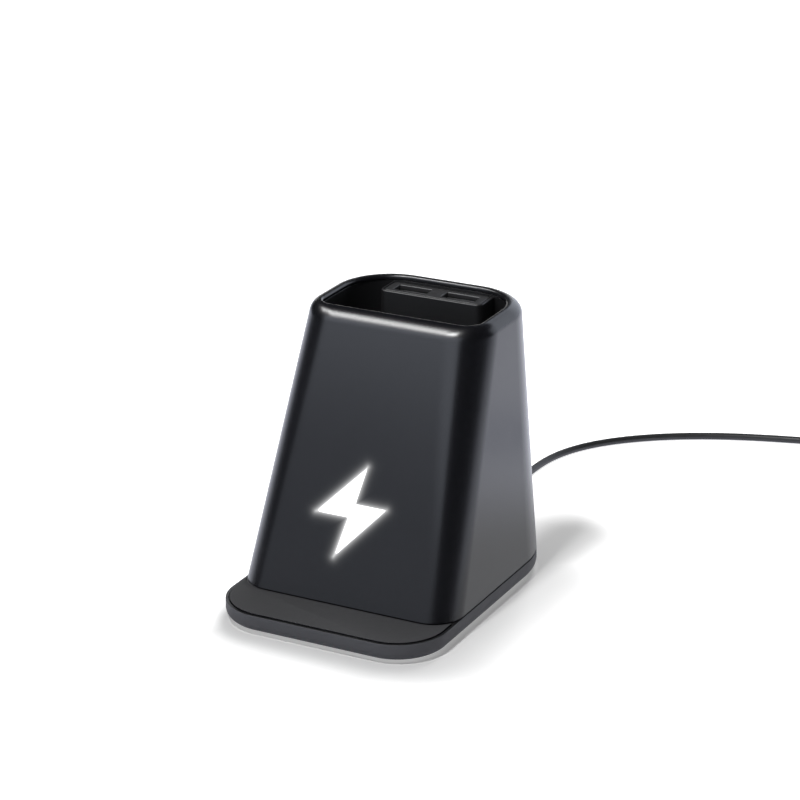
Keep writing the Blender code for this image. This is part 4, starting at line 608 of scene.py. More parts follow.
def plate_plan(inset):
    """The port plate's seat, a small step wider than the tower's hollow."""
    inset = np.atleast_1d(inset)
    front = TOWER_FRONT + TOWER_WALL - PLATE_SEAT_WIDTH + inset
    back = TOWER_HOLLOW_BACK + PLATE_SEAT_WIDTH - inset
    return plan(TOWER_WIDTH - 2 * (TOWER_WALL - PLATE_SEAT_WIDTH + inset), front, back,
                PLATE_RADIUS - inset, PLATE_RADIUS - inset)


tower_root = CUP_UNDER + CUP_WALL / 2
crest = quarter_turn(EDGE_STEPS)
crest_z = TOWER_TOP - TOWER_EDGE * (1 - np.sin(crest))
tower = surface("tower_tool", np.concatenate([
    at_heights(tower_plan(tower_root, 0.0), tower_root),
    at_heights(tower_plan(crest_z, TOWER_EDGE * (1 - np.cos(crest))), crest_z)]))
hollow_outline = plan(TOWER_WIDTH - 2 * TOWER_WALL, TOWER_FRONT + TOWER_WALL, TOWER_HOLLOW_BACK,
                      FIT_GAP, FIT_GAP)[0]
hollow = prism("hollow_tool", hollow_outline, CUP_UNDER - OVERRUN, PLATE_SEAT + OVERRUN)
rebate = prism("rebate_tool", plate_plan(0.0)[0], PLATE_SEAT, TOWER_TOP + OVERRUN)
carve(liner, ("UNION", tower), ("DIFFERENCE", hollow), ("DIFFERENCE", rebate))
soften(liner)
print("liner skin has", len(liner.data.polygons), "faces")

# %% [markdown]
# The plate closes the tower. Its two openings have a small lead-in, which guides a plug. Each opening is
# cut by a flared block: its outline grows towards the top as a quarter circle.

# %% Port plate
PLATE_EDGE, PLATE_EDGE_STEPS, LEAD_IN = 0.00025, 4, 0.00035
plate_turn, flare = quarter_turn(PLATE_EDGE_STEPS), quarter_turn(EDGE_STEPS)
plate = surface("port_plate_skin", np.concatenate([
    at_heights(plate_plan(FIT_GAP), TOWER_TOP - PLATE_THICKNESS),
    at_heights(plate_plan(FIT_GAP + PLATE_EDGE * (1 - np.cos(plate_turn))),
               TOWER_TOP - PLATE_EDGE * (1 - np.sin(plate_turn)))]))
flare_growth = np.concatenate(([0.0], LEAD_IN * (1 - np.cos(flare)), [LEAD_IN]))
flare_z = np.concatenate((
    [PLATE_SEAT - OVERRUN], TOWER_TOP - LEAD_IN * (1 - np.sin(flare)), [TOWER_TOP + OVERRUN]))
for side in (-1, 1):
    opening_plan = plan(PORT_WIDTH + 2 * flare_growth, PORT_Y - PORT_DEPTH / 2 - flare_growth,
                        PORT_Y + PORT_DEPTH / 2 + flare_growth, PORT_RADIUS + flare_growth,
                        PORT_RADIUS + flare_growth, side * PORT_PITCH / 2)
    carve(plate, ("DIFFERENCE", surface("port_tool", at_heights(opening_plan, flare_z))))
soften(plate)
print("port plate has", len(plate.data.polygons), "faces")

# %% [markdown]
# ## Bush of the lead
# The bush that guards the lead is a turned shape: a profile of radius against distance, carried round an
# axis. It has a flange on each side of the wall and tapers to its tip, with four shallow grooves that let
# it flex. Blender's Screw modifier could turn it too, but here the profile is a formula from the start.

# %% Bush
RELIEF_NECK, RELIEF_FLANGE_RADIUS, RELIEF_COLLAR, RELIEF_FLANGE = 0.0027, 0.004, 0.0014, 0.0016
RELIEF_ROOT_RADIUS, RELIEF_TIP_RADIUS, RELIEF_EDGE, RELIEF_EDGE_STEPS = 0.0033, 0.0021, 0.0003, 4
RELIEF_GROOVE, RELIEF_GROOVES, GROOVE_MIDDLE_SHARE, GROOVE_HALF_SHARE = 0.0005, 4, 0.625, 0.25
TAPER_STEPS = 100
EXIT_AXIS = (0.0, math.cos(BACK_LEAN), math.sin(BACK_LEAN))


def turned(name, origin, axis, along, radius, sides=48):
    """A profile carried round an axis: each point is the axis's point plus its radius in every direction."""
    axis = np.array(axis) / np.linalg.norm(axis)
    side = np.cross(axis, (1.0, 0.0, 0.0))
    side /= np.linalg.norm(side)
    across = np.cross(axis, side)
    turn = np.linspace(0.0, 2 * math.pi, sides, endpoint=False)[None, :, None]
    ring = np.cos(turn) * side + np.sin(turn) * across
    centre = np.array(origin) + np.asarray(along)[:, None] * axis
    return surface(name, centre[:, None] + np.asarray(radius)[:, None, None] * ring)


inner_face = -SHELL_WALL * math.cos(BACK_LEAN) - FIT_GAP
quarter = quarter_turn(RELIEF_EDGE_STEPS)
taper = np.linspace(0.0, 1.0, TAPER_STEPS + 1)
groove_place = taper * (RELIEF_GROOVES + 1)
from_middle = np.abs(groove_place % 1.0 - GROOVE_MIDDLE_SHARE)
pulse = np.clip(1 - from_middle / GROOVE_HALF_SHARE, 0.0, 1.0) * (groove_place < RELIEF_GROOVES)
taper_radius = (blend(RELIEF_ROOT_RADIUS, RELIEF_TIP_RADIUS, taper)
                - RELIEF_GROOVE * pulse ** 2 * (3 - 2 * pulse))
relief = turned("lead_bush", exit_point(0.0), EXIT_AXIS, np.concatenate([
    (inner_face - RELIEF_FLANGE, inner_face, inner_face, FIT_GAP, FIT_GAP),
    RELIEF_COLLAR - RELIEF_EDGE * (1 - np.sin(quarter)),
    blend(RELIEF_COLLAR, RELIEF_LENGTH - RELIEF_EDGE, taper),
    RELIEF_LENGTH - RELIEF_EDGE * (1 - np.sin(quarter[1:])),
]), np.concatenate([
    (RELIEF_FLANGE_RADIUS, RELIEF_FLANGE_RADIUS, RELIEF_NECK, RELIEF_NECK, RELIEF_FLANGE_RADIUS),
    RELIEF_FLANGE_RADIUS - RELIEF_EDGE * (1 - np.cos(quarter)),
    taper_radius,
    RELIEF_TIP_RADIUS - RELIEF_EDGE * (1 - np.cos(quarter[1:])),
]))
soften(relief)
print("bush is", round(RELIEF_LENGTH * 1000, 1), "mm long outside the wall")

# %% [markdown]
# The bush needs its hole in the shell, a little wider than its neck. That is the last cut in the shell,
# so its points are merged and its shading is smoothed here.

# %% Hole for the bush
RELIEF_BORE = 0.003
bore = turned("bore_tool", exit_point(0.0), EXIT_AXIS, (-2 * SHELL_WALL, OVERRUN), (RELIEF_BORE, RELIEF_BORE))
carve(shell, ("DIFFERENCE", bore))
merge_points(shell)
soften(shell)
print("finished shell skin has", len(shell.data.polygons), "faces")

# %% [markdown]
# ## Feet
# Four soft feet are turned about upright axes. Each takes its place and radius from its solid's box, so
# it can't drift from the frame, and its lower edge is rounded.

# %% Feet
FOOT_ROUNDING = 0.0004
foot_turn = quarter_turn(EDGE_STEPS)
feet = []
for foot_node in ("foot_1", "foot_2", "foot_3", "foot_4"):
    low, high = (np.array(corner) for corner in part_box(foot_node))
    centre, radius = (low + high) / 2, (high[0] - low[0]) / 2
    feet.append(turned(foot_node + "_skin", (centre[0], centre[1], 0.0), (0.0, 0.0, 1.0),
                       np.concatenate([FOOT_ROUNDING * (1 - np.cos(foot_turn)), [high[2]]]),
                       np.concatenate([radius - FOOT_ROUNDING * (1 - np.sin(foot_turn)), [radius]])))
    soften(feet[-1])
print("feet:", len(feet))

# %% [markdown]
# ## Coil strap
# A soft strap holds the coil. It is a rounded rectangle that stands across the coil's strands, carried
# along its own width as a closed loop, with its edges eased.

# %% Strap
TIE_WIDTH, TIE_THICKNESS, TIE_ROUNDING, TIE_INNER_SET, TIE_EDGE = 0.006, 0.0006, 0.0022, 0.0023, 0.00015
tie_inner = BUNDLE_OUTER_RADIUS - BUNDLE_PITCH * BUNDLE_INWARD_TURNS - FIT_GAP - TIE_INNER_SET
tie_outer = BUNDLE_OUTER_RADIUS - BUNDLE_PITCH / 2 + CORD_RADIUS + FIT_GAP
tie_high = BUNDLE_BOTTOM + BUNDLE_PITCH + CORD_RADIUS + FIT_GAP
strap_growth = np.array((0.0, 0.0, TIE_EDGE, TIE_THICKNESS - TIE_EDGE, TIE_THICKNESS, TIE_THICKNESS,
                         TIE_THICKNESS - TIE_EDGE, TIE_EDGE))
strap_offset = np.array((TIE_EDGE, TIE_WIDTH - TIE_EDGE, TIE_WIDTH, TIE_WIDTH, TIE_WIDTH - TIE_EDGE,
                         TIE_EDGE, 0.0, 0.0)) - TIE_WIDTH / 2
strap_radius = TIE_ROUNDING + strap_growth
strap_plan = plan(tie_outer - tie_inner + 2 * strap_growth, TIE_THICKNESS - strap_growth,
                  tie_high + strap_growth, strap_radius, strap_radius, (tie_inner + tie_outer) / 2)
strap = surface("coil_strap", np.stack([
    np.broadcast_to(BUNDLE_CENTRE[0] + strap_offset[:, None], strap_plan.shape[:2]),
    BUNDLE_CENTRE[1] - strap_plan[..., 0], strap_plan[..., 1]], -1), "loop")
soften(strap)
print("strap is", round(TIE_WIDTH * 1000), "mm wide")

# %% [markdown]
# ## Plug
# The lead ends in a moulded grip with a tapered tail. Both are rounded rectangles carried along the
# plug's axis. The tail's sizes ease from the lead's to its neck, along a curve that is flat at both ends.

# %% Grip of the plug
GRIP_WIDTH, GRIP_THICKNESS, GRIP_LENGTH, GRIP_ROUNDING, GRIP_EDGE = 0.0152, 0.008, 0.021, 0.0026, 0.001
GRIP_TAIL_LENGTH, GRIP_TAIL_RADIUS, TAIL_STEPS, GRIP_EDGE_STEPS = 0.009, 0.0022, 12, 6
GRIP_NECK_WIDTH, GRIP_NECK_THICKNESS, GRIP_NECK_RADIUS = 0.0066, 0.00572, 0.00275


def along_plug(outlines, distance):
    """Carries outlines onto the plug's axis, which runs towards -Y: their second axis becomes height."""
    placed = at_heights(outlines, distance)
    return np.stack([plug_spot[0] + placed[..., 0], plug_spot[1] - FIT_GAP - placed[..., 2],
                     plug_spot[2] + placed[..., 1]], -1)


def plug_plan(width, thickness, radius):
    """A rounded rectangle about the plug's axis."""
    return plan(width, -np.asarray(thickness) / 2, np.asarray(thickness) / 2, radius, radius)


grip_end = GRIP_TAIL_LENGTH + GRIP_LENGTH
flow = np.linspace(0.0, 1.0, TAIL_STEPS + 1)
ease = flow ** 2 * (3 - 2 * flow)
grip_turn = quarter_turn(GRIP_EDGE_STEPS)
grip_growth = np.concatenate([GRIP_EDGE * (np.sin(grip_turn) - 1), GRIP_EDGE * (np.cos(grip_turn) - 1)])
grip_distance = np.concatenate([GRIP_TAIL_LENGTH + FIT_GAP + GRIP_EDGE * (1 - np.cos(grip_turn)),
                                grip_end - GRIP_EDGE * (1 - np.sin(grip_turn))])
grip = surface("plug_grip_skin", np.concatenate([
    along_plug(plug_plan(blend(2 * GRIP_TAIL_RADIUS, GRIP_NECK_WIDTH, ease),
                         blend(2 * GRIP_TAIL_RADIUS, GRIP_NECK_THICKNESS, ease),
                         blend(GRIP_TAIL_RADIUS, GRIP_NECK_RADIUS, ease)), flow * GRIP_TAIL_LENGTH),
    along_plug(plug_plan(GRIP_WIDTH + 2 * grip_growth, GRIP_THICKNESS + 2 * grip_growth,
                         GRIP_ROUNDING + grip_growth), grip_distance),
]))
merge_points(grip)
soften(grip)
print("grip is", round(grip_end * 1000), "mm long with its tail")

# %% [markdown]
# The plug's metal is a folded steel sheet round a plastic tongue: a tube of rounded rectangles, closed as
# a loop through its wall's thickness. Two square windows in its upper side are where a socket's springs
# catch.

# %% Metal of the plug
PLUG_WIDTH, PLUG_THICKNESS, PLUG_LENGTH, PLUG_WALL = 0.012, 0.0045, 0.0185, 0.0004
PLUG_WINDOW, PLUG_WINDOW_SPREAD, PLUG_WINDOW_SET = 0.0024, 0.0044, 0.0062
plug_low = grip_end + FIT_GAP
plug_high = plug_low + PLUG_LENGTH
wall_inset = np.array((0.0, 0.0, PLUG_WALL, PLUG_WALL))
metal = surface("plug_metal", along_plug(
    plug_plan(PLUG_WIDTH - 2 * wall_inset, PLUG_THICKNESS - 2 * wall_inset, 2 * PLUG_WALL - wall_inset),
    (plug_low, plug_high, plug_high, plug_low)), "loop")
window_back = plug_spot[1] - FIT_GAP - plug_low - PLUG_WINDOW_SET
for side in (-1, 1):
    hole = plan(PLUG_WINDOW, window_back - PLUG_WINDOW, window_back, PLUG_WALL / 2, PLUG_WALL / 2,
                plug_spot[0] + side * PLUG_WINDOW_SPREAD / 2)[0]
    carve(metal, ("DIFFERENCE", prism("plug_window_tool", hole, plug_spot[2], plug_spot[2] + PLUG_THICKNESS)))
soften(metal)
print("plug is", round(plug_high * 1000), "mm long with its grip")

# %% [markdown]
# ## Who stands for whom
# Every skin rides on the one body and hides the solid that it stands for. The lead and its pieces stay out of
# reflections, where they would draw lines on the back that the picture's even walls don't have.

# %% Ride and replace
BODY = "root"
stand_ins = [
    ("body_shell", shell, "shell_plastic"),
    ("light_window", inlay, "window_plastic"),
    ("base_frame", base, "base_plastic"),
    ("ledge_pad", mat, "pad_rubber"),
    ("pen_cup", liner, "liner_plastic"),
    ("hub_plate", plate, "port_plastic"),
    ("strain_relief", relief, "cord_rubber"),
    ("coil_tie", strap, "tie_rubber"),
    ("plug_grip", grip, "grip_rubber"),
    ("plug_shell", metal, "socket_steel"),
]
stand_ins += [(f"foot_{i + 1}", foot, "foot_rubber") for i, foot in enumerate(feet)]
for solid, piece, finish in stand_ins:
    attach(piece, BODY)
    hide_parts(solid)
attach(cord, BODY)
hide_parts("cord_lead", "cord_coil", "cord_tail")
for piece in (cord, strap, grip, metal):
    piece.visible_glossy = False
print("skins in place:", len(stand_ins) + 1)

# %% [markdown]
# ## Finishes
# A finish is a Principled shader whose colour, roughness and bump vary over the surface. What several of
# them share is a node group: the grain of a moulding, and the distance to the mark. The groups only put out
# values, and the shader stays in the material.
#
# Moulded plastic shows a very fine spark-eroded grain, and over that a broad, faint unevenness where
# hands have polished it. Two noises of very different size give both.

# %% Grain of a moulding
FLOAT, VECTOR = "NodeSocketFloat", "NodeSocketVector"
GRAIN_PER_METRE, GRAIN_DETAIL, GRAIN_HARDNESS = 2600.0, 2.0, 0.6
MOTTLE_PER_METRE, MOTTLE_DETAIL = 38.0, 3.0


def new_group(name, inputs, outputs):
    """A node group with named number or vector inputs and outputs."""
    group = bpy.data.node_groups.new(name, "ShaderNodeTree")
    for label, kind, default in inputs:
        socket = group.interface.new_socket(label, in_out="INPUT", socket_type=kind)
        if default is not None:
            socket.default_value = default
    for label, kind in outputs:
        group.interface.new_socket(label, in_out="OUTPUT", socket_type=kind)
    return group, group.nodes.new("NodeGroupInput"), group.nodes.new("NodeGroupOutput")


def node(tree, kind, inputs=(), **settings):
    """A node with its settings, and its inputs given as numbers or as sockets to link."""
    made = tree.nodes.new("ShaderNode" + kind)
    for key, value in settings.items():
        setattr(made, key, value)
    for key, value in dict(inputs).items():
        if isinstance(value, bpy.types.NodeSocket):
            tree.links.new(value, made.inputs[key])
        else:
            made.inputs[key].default_value = value
    return made


def maths(tree, operation, first, second=0.0, third=0.0, clamp=False):
    """One Math node's result."""
    made = node(tree, "Math", {0: first, 1: second, 2: third}, operation=operation, use_clamp=clamp)
    return made.outputs[0]


grain_group, grain_in, grain_out = new_group(
    "moulded grain",
    (("Place", VECTOR, None), ("Grain per metre", FLOAT, GRAIN_PER_METRE), ("Roughness", FLOAT, 0.42),
     ("Spread", FLOAT, 0.06)),
    (("Height", FLOAT), ("Roughness", FLOAT), ("Mottle", FLOAT)))
fine = node(grain_group, "TexNoise", {
    "Vector": grain_in.outputs["Place"], "Scale": grain_in.outputs["Grain per metre"],
    "Detail": GRAIN_DETAIL, "Roughness": GRAIN_HARDNESS})
broad = node(grain_group, "TexNoise", {
    "Vector": grain_in.outputs["Place"], "Scale": MOTTLE_PER_METRE, "Detail": MOTTLE_DETAIL})
sway = maths(grain_group, "MULTIPLY_ADD", maths(grain_group, "SUBTRACT", broad.outputs[0], 0.5),
             grain_in.outputs["Spread"], grain_in.outputs["Roughness"])
grain_group.links.new(fine.outputs[0], grain_out.inputs["Height"])
grain_group.links.new(sway, grain_out.inputs["Roughness"])
grain_group.links.new(broad.outputs[0], grain_out.inputs["Mottle"])
print("grain group has", len(grain_group.nodes), "nodes")

# %% [markdown]
# A soft halo round the mark is painted onto the shell as a glow of its own, which fades over two or three
# millimetres. The halo needs the distance to the bolt's outline, and that is the least distance to its six
# edges. For one edge, the nearest point is its start plus a clamped share of its length.

# %% Distance to the mark
def edge_distance(tree, place, start, end):
    """Distance from a place to one straight edge: to its start plus the clamped share of its length."""
    run = end - start
    away = node(tree, "VectorMath", {0: place, 1: (*start, 0.0)}, operation="SUBTRACT").outputs[0]
    share = node(tree, "VectorMath", {0: away, 1: (*(run / (run @ run)), 0.0)}, operation="DOT_PRODUCT")
    held = maths(tree, "ADD", share.outputs["Value"], 0.0, clamp=True)
    nearest_point = node(tree, "VectorMath", {0: (*run, 0.0), "Scale": held}, operation="SCALE").outputs[0]
    return node(tree, "VectorMath", {0: away, 1: nearest_point}, operation="DISTANCE").outputs["Value"]


halo_group, halo_in, halo_out = new_group(
    "distance to the mark", (("Place", VECTOR, None),), (("Distance", FLOAT),))
local = node(halo_group, "VectorMath", {0: halo_in.outputs["Place"], 1: tuple(FRONT_ORIGIN)},
             operation="SUBTRACT")
across, up, out = (node(halo_group, "VectorMath", {0: local.outputs[0], 1: tuple(axis)},
                        operation="DOT_PRODUCT").outputs["Value"] for axis in FRONT_AXES)
depth = maths(halo_group, "SUBTRACT", maths(halo_group, "ABSOLUTE", out), SHELL_WALL)
sunk = maths(halo_group, "MAXIMUM", depth, 0.0)
on_face = node(halo_group, "CombineXYZ", {0: across, 1: up, 2: sunk}).outputs[0]
nearest = None
for start, end in zip(mark_corners, np.roll(mark_corners, -1, axis=0)):
    reach = edge_distance(halo_group, on_face, start, end)
    nearest = reach if nearest is None else maths(halo_group, "MINIMUM", nearest, reach)
halo_group.links.new(nearest, halo_out.inputs["Distance"])
print("halo group has", len(halo_group.nodes), "nodes")

# %% [markdown]
# Each finish below starts from one helper, which wires the grain into a Principled shader. The numbers are
# what sets them apart: how dark, how rough and how coarse. The shell is the first: satin black, with the halo
# of the mark painted on as a faint glow of its own that falls off as an exponent of the distance.

# %% Satin shell with the painted halo of the mark
PAINTED_HALO_LEVEL, PAINTED_HALO_REACH = 0.62, 0.00085


def moulding(name, colour, roughness, spread=0.06, grain=GRAIN_PER_METRE, bump=0.05, mottle=0.15,
             depth=0.00005):
    """A moulded finish: a base colour that the mottle lightens, a roughness that sways, and a fine bump."""
    material = bpy.data.materials.new(name)
    material.use_nodes = True
    tree = material.node_tree
    shader = tree.nodes["Principled BSDF"]
    place = node(tree, "TexCoord").outputs["Object"]
    texture = node(tree, "Group", node_tree=grain_group)
    tree.links.new(place, texture.inputs["Place"])
    texture.inputs["Grain per metre"].default_value = grain
    texture.inputs["Roughness"].default_value = roughness
    texture.inputs["Spread"].default_value = spread
    tint = node(tree, "MixRGB", {0: texture.outputs["Mottle"], 1: (*colour, 1.0),
                                 2: (*(np.array(colour) * (1 + mottle)), 1.0)})
    tree.links.new(tint.outputs[0], shader.inputs["Base Color"])
    tree.links.new(texture.outputs["Roughness"], shader.inputs["Roughness"])
    height = texture.outputs["Height"]
    bumps = node(tree, "Bump", {"Strength": bump, "Distance": depth, "Height": height})
    tree.links.new(bumps.outputs[0], shader.inputs["Normal"])
    return material, tree, shader


def mark_distance(tree):
    """The distance to the mark in a finish, from its place on the piece."""
    place = node(tree, "TexCoord").outputs["Object"]
    return node(tree, "Group", {"Place": place}, node_tree=halo_group).outputs["Distance"]


def dress(material, *pieces):
    """Gives a finish to new pieces and to solids that stay in view."""
    for piece in pieces:
        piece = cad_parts[piece] if isinstance(piece, str) else piece
        for slot in piece.material_slots:
            slot.material = material
        if not piece.material_slots:
            piece.data.materials.append(material)


satin, satin_tree, satin_shader = moulding("satin black plastic", (0.004, 0.0042, 0.0058), 0.26, spread=0.03)
# The halo is painted light: the shell itself glows round the mark, falling off as an exponent of the
# distance.
fade = maths(satin_tree, "EXPONENT", maths(satin_tree, "DIVIDE", mark_distance(satin_tree), -PAINTED_HALO_REACH))
glow = node(satin_tree, "CombineColor", {0: fade, 1: fade, 2: fade})
satin_tree.links.new(glow.outputs[0], satin_shader.inputs["Emission Color"])
satin_shader.inputs["Emission Strength"].default_value = PAINTED_HALO_LEVEL
dress(satin, shell)
print("satin finish has", len(satin_tree.nodes), "nodes")

# %% [markdown]
# The base is a coarser and duller plastic than the shell. The thin rim round the ledge gets a darker plastic,
# which paints shade onto it, and a painted light at its left end, so its tone runs from light to dark along
# X. The mat is matt rubber, and its thin sides take the shell's darker satin, which paints the shade of the
# groove onto them.

# %% Base, rim and mat
BASE_SHEEN, RIM_SHEEN = 0.25, 0.2
RIM_PAINTED_LIGHT_END, RIM_PAINTED_SHADE_START, RIM_PAINTED_LIGHT_TONE = -0.037, -0.03, (0.07, 0.071, 0.076, 1.0)
base_plastic, _, base_shader = moulding("base plastic", (0.064, 0.065, 0.073), 0.55, spread=0.04, bump=0.08)
base_shader.inputs["Specular IOR Level"].default_value = BASE_SHEEN
dress(base_plastic, base)
# Painted shade and light: the rim's plastic is darker than the base, and its tone is mixed towards a painted
# light at its left end.
rim_painted_shade_plastic, rim_tree, rim_shader = moulding("rim plastic with painted light and shade", (0.002, 0.002, 0.0025), 0.62)
rim_place = node(rim_tree, "SeparateXYZ", {0: node(rim_tree, "TexCoord").outputs["Object"]})
rim_painted_light_share = node(rim_tree, "MapRange", {
    0: rim_place.outputs["X"], 1: RIM_PAINTED_LIGHT_END, 2: RIM_PAINTED_SHADE_START, 3: 1.0, 4: 0.0})
rim_painted_shade = rim_shader.inputs["Base Color"].links[0].from_socket
rim_painted_light_and_shade = node(rim_tree, "MixRGB", {0: rim_painted_light_share.outputs[0], 1: rim_painted_shade, 2: RIM_PAINTED_LIGHT_TONE})
rim_tree.links.new(rim_painted_light_and_shade.outputs[0], rim_shader.inputs["Base Color"])
rim_shader.inputs["Specular IOR Level"].default_value = RIM_SHEEN
base.data.materials.append(rim_painted_shade_plastic)
base.data.polygons.foreach_set("material_index", rim_painted_shade_faces.astype(np.int32))
dress(moulding("matt ledge rubber", (0.019, 0.019, 0.0212), 0.68, grain=1800.0, bump=0.12)[0], mat)
# The mat's sides take the darker satin, which paints the groove's shade onto them.
mat.data.materials.append(satin)
mat.data.polygons.foreach_set("material_index", mat_painted_shade_sides.astype(np.int32))
print("mat has", int(mat_painted_shade_sides.sum()), "satin faces on its sides")

# %% [markdown]
# The other plastics and rubbers differ only in tone, roughness and grain. The sheath of the lead and its
# bush are one soft plastic, and the strap is a webbing, so it is the roughest of all.

# %% Other plastics and rubbers
dress(moulding("liner plastic", (0.007, 0.007, 0.0078), 0.42)[0], liner)
dress(moulding("port plate plastic", (0.0225, 0.0225, 0.0235), 0.4)[0], plate)
dress(moulding("cover plastic", (0.01, 0.01, 0.0105), 0.5, bump=0.1)[0], "bottom_cover")
dress(moulding("lead sheath", (0.012, 0.012, 0.0125), 0.42, grain=1500.0)[0], cord, relief, "cord_inside")
dress(moulding("grip rubber", (0.014, 0.014, 0.0145), 0.5, grain=1500.0, bump=0.1)[0], grip, *feet)
dress(moulding("strap webbing", (0.016, 0.016, 0.017), 0.85, grain=3000.0, bump=0.5, depth=0.0001)[0], strap)
print("finishes so far:", len(bpy.data.materials))

# %% [markdown]
# The mark is a white diffuser with lamps behind it, so its finish gives light of its own. It is pure
# white in the middle and a shade greyer along its outline, where less light gets through.

# %% Lit inlay
LENS_LEVEL, LENS_EDGE_WIDTH = 1.6, 0.0012
LENS_EDGE_TONE, WHITE = (0.93, 0.94, 0.96, 1.0), (1.0, 1.0, 1.0, 1.0)
lens, lens_tree, lens_shader = moulding("lit diffuser plastic", (0.85, 0.85, 0.84), 0.35, grain=1200.0)
core = maths(lens_tree, "DIVIDE", mark_distance(lens_tree), LENS_EDGE_WIDTH, clamp=True)
lit = node(lens_tree, "MixRGB", {0: core, 1: LENS_EDGE_TONE, 2: WHITE})
lens_tree.links.new(lit.outputs[0], lens_shader.inputs["Emission Color"])
lens_shader.inputs["Emission Strength"].default_value = LENS_LEVEL
dress(lens, inlay)
print("lit inlay has", len(lens_tree.nodes), "nodes")

# %% [markdown]
# Metals take the same grain, broader and shallower, and the shader's Metallic makes the difference: their
# colour then tints the reflections. The parts inside get plain finishes too, for whoever takes the holder
# apart.

# %% Metals and the parts inside
def metal_finish(name, colour, roughness, grain=900.0):
    """A moulding's grain under a metal: only the shader's Metallic differs."""
    material, _, shader = moulding(name, colour, roughness, grain=grain, bump=0.04)
    shader.inputs["Metallic"].default_value = 1.0
    return material


dress(metal_finish("nickelled steel", (0.55, 0.55, 0.56), 0.28), metal)
dress(metal_finish("dull socket steel", (0.45, 0.45, 0.455), 0.35), "usb_shell_1", "usb_shell_2")
dress(metal_finish("zinc screw steel", (0.5, 0.5, 0.5), 0.38), *(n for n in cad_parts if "screw" in n))
dress(metal_finish("gold contact", (0.6, 0.42, 0.2), 0.3), "usb_contacts_1", "usb_contacts_2")
dress(metal_finish("copper winding", (0.7, 0.33, 0.17), 0.35), "charge_coil", "coil_leads")
dress(metal_finish("aluminium can", (0.6, 0.6, 0.61), 0.35), "capacitor_1", "capacitor_2")
dress(moulding("tongue plastic", (0.05, 0.05, 0.052), 0.4)[0], "usb_tongue_1", "usb_tongue_2")
dress(moulding("white insulator", (0.75, 0.75, 0.73), 0.4)[0],
      "plug_tongue", "cord_terminal", "led_1", "led_2", "led_leads", "light_box")
dress(moulding("board laminate", (0.015, 0.07, 0.03), 0.4)[0], "hub_board", "led_board", "main_board")
dress(moulding("ferrite", (0.03, 0.03, 0.032), 0.6)[0],
      "ferrite_sheet", "power_inductor", "control_chip", "hub_leads", "coil_carrier")
print("finishes:", len(bpy.data.materials))

# %% [markdown]
# ## Studio
# The picture is a white sweep with soft boxes round it. The floor is a set of rings round the foot. Every
# point of a ring carries its distance from the foot as an attribute, from which the sweep's own glow is
# worked out next. Along X that distance is stretched at the left, where the picture's shadow is short, and
# drawn in at the right, where it is long.

# %% Floor
FLOOR_SURFACE, FLOOR_UNDERSIDE = -0.0001, -0.002
CONTACT_INNER, CONTACT_OUTER = -0.003, -0.0001
RING_GAPS = np.array((3.0, 3.0, 0.2, 0.04, 0.006, CONTACT_OUTER, CONTACT_INNER, 2 * CONTACT_INNER))
PACE_PLACES, PACES, SETS = (-0.0425, -0.034, 0.03, 0.0425), (3.2, 1.3, 1.0, 0.58), (0.002, 0.0, 0.0, -0.0009)
ring_heights = np.full(len(RING_GAPS), FLOOR_SURFACE)
ring_heights[0] = FLOOR_UNDERSIDE
foot_outline = base_plan(0.0)[0]
ground_rings = np.stack([grown(foot_outline, gap) for gap in RING_GAPS])
ground = surface("ground", at_heights(ground_rings, ring_heights))
pace, step = (np.interp(foot_outline[:, 0], PACE_PLACES, values) for values in (PACES, SETS))
foot_gap = ground.data.attributes.new("foot_gap", "FLOAT", "POINT")
foot_gap.data.foreach_set("value", (RING_GAPS[:, None] * pace + step).ravel().astype(np.float32))
print("floor has", len(RING_GAPS), "rings of", len(foot_outline), "points")

# %% [markdown]
# The floor is matt and glows a little, so that it is white to the camera and in reflections. Its glow falls
# off towards the holder, which paints a soft shadow round the foot on top of the cast shadow. A short line
# behind the right corner counts as foot too, so the painted shadow runs out further there. A second, small
# glow under the base's overhang paints light into the joint, to keep it from going black. Reflections see a
# glow of their own, slightly blue, which is dimmer near the foot and so paints the floor's shade into
# reflections.

# %% Glow of the floor
FLOOR_TONE, SEEN_LIFT, MIRRORED_LIFT, FLOOR_GLOW, PAINTED_CONTACT_LIGHT = 0.72, 0.05, 0.13, 0.78, 0.34
SEEN_NEAR, SEEN_FAR, MIRRORED_NEAR, MIRRORED_FAR = 0.001, 0.028, 0.018, 0.12
PAINTED_SHADOW_SPINE_START, PAINTED_SHADOW_SPINE_END, PAINTED_SHADOW_SPINE_RADIUS = np.array((0.036, 0.03)), np.array((0.04, 0.07)), 0.004
FLOOR_MIRRORED = (0.81, 0.855, 1.06, 1.0)
sweep = bpy.data.materials.new("white sweep")
sweep.use_nodes = True
sweep_tree = sweep.node_tree
sweep_shader = sweep_tree.nodes["Principled BSDF"]
sweep_shader.inputs["Roughness"].default_value = 1.0
sweep_shader.inputs["Specular IOR Level"].default_value = 0.0
sweep_shader.inputs["Base Color"].default_value = (FLOOR_TONE, FLOOR_TONE, FLOOR_TONE, 1.0)


def brightening(reach, near, far, lift):
    """The sweep's glow over a distance, from the lift up to the lift and the glow."""
    return node(sweep_tree, "MapRange", {0: reach, 1: near, 2: far, 3: lift, 4: lift + FLOOR_GLOW},
                interpolation_type="SMOOTHSTEP").outputs[0]


sweep_place = node(sweep_tree, "TexCoord").outputs["Object"]
sweep_flat = node(sweep_tree, "VectorMath", {
    0: sweep_place, 1: (1.0, 1.0, 0.0)}, operation="MULTIPLY").outputs[0]
foot_reach = node(sweep_tree, "Attribute", attribute_name="foot_gap").outputs["Fac"]
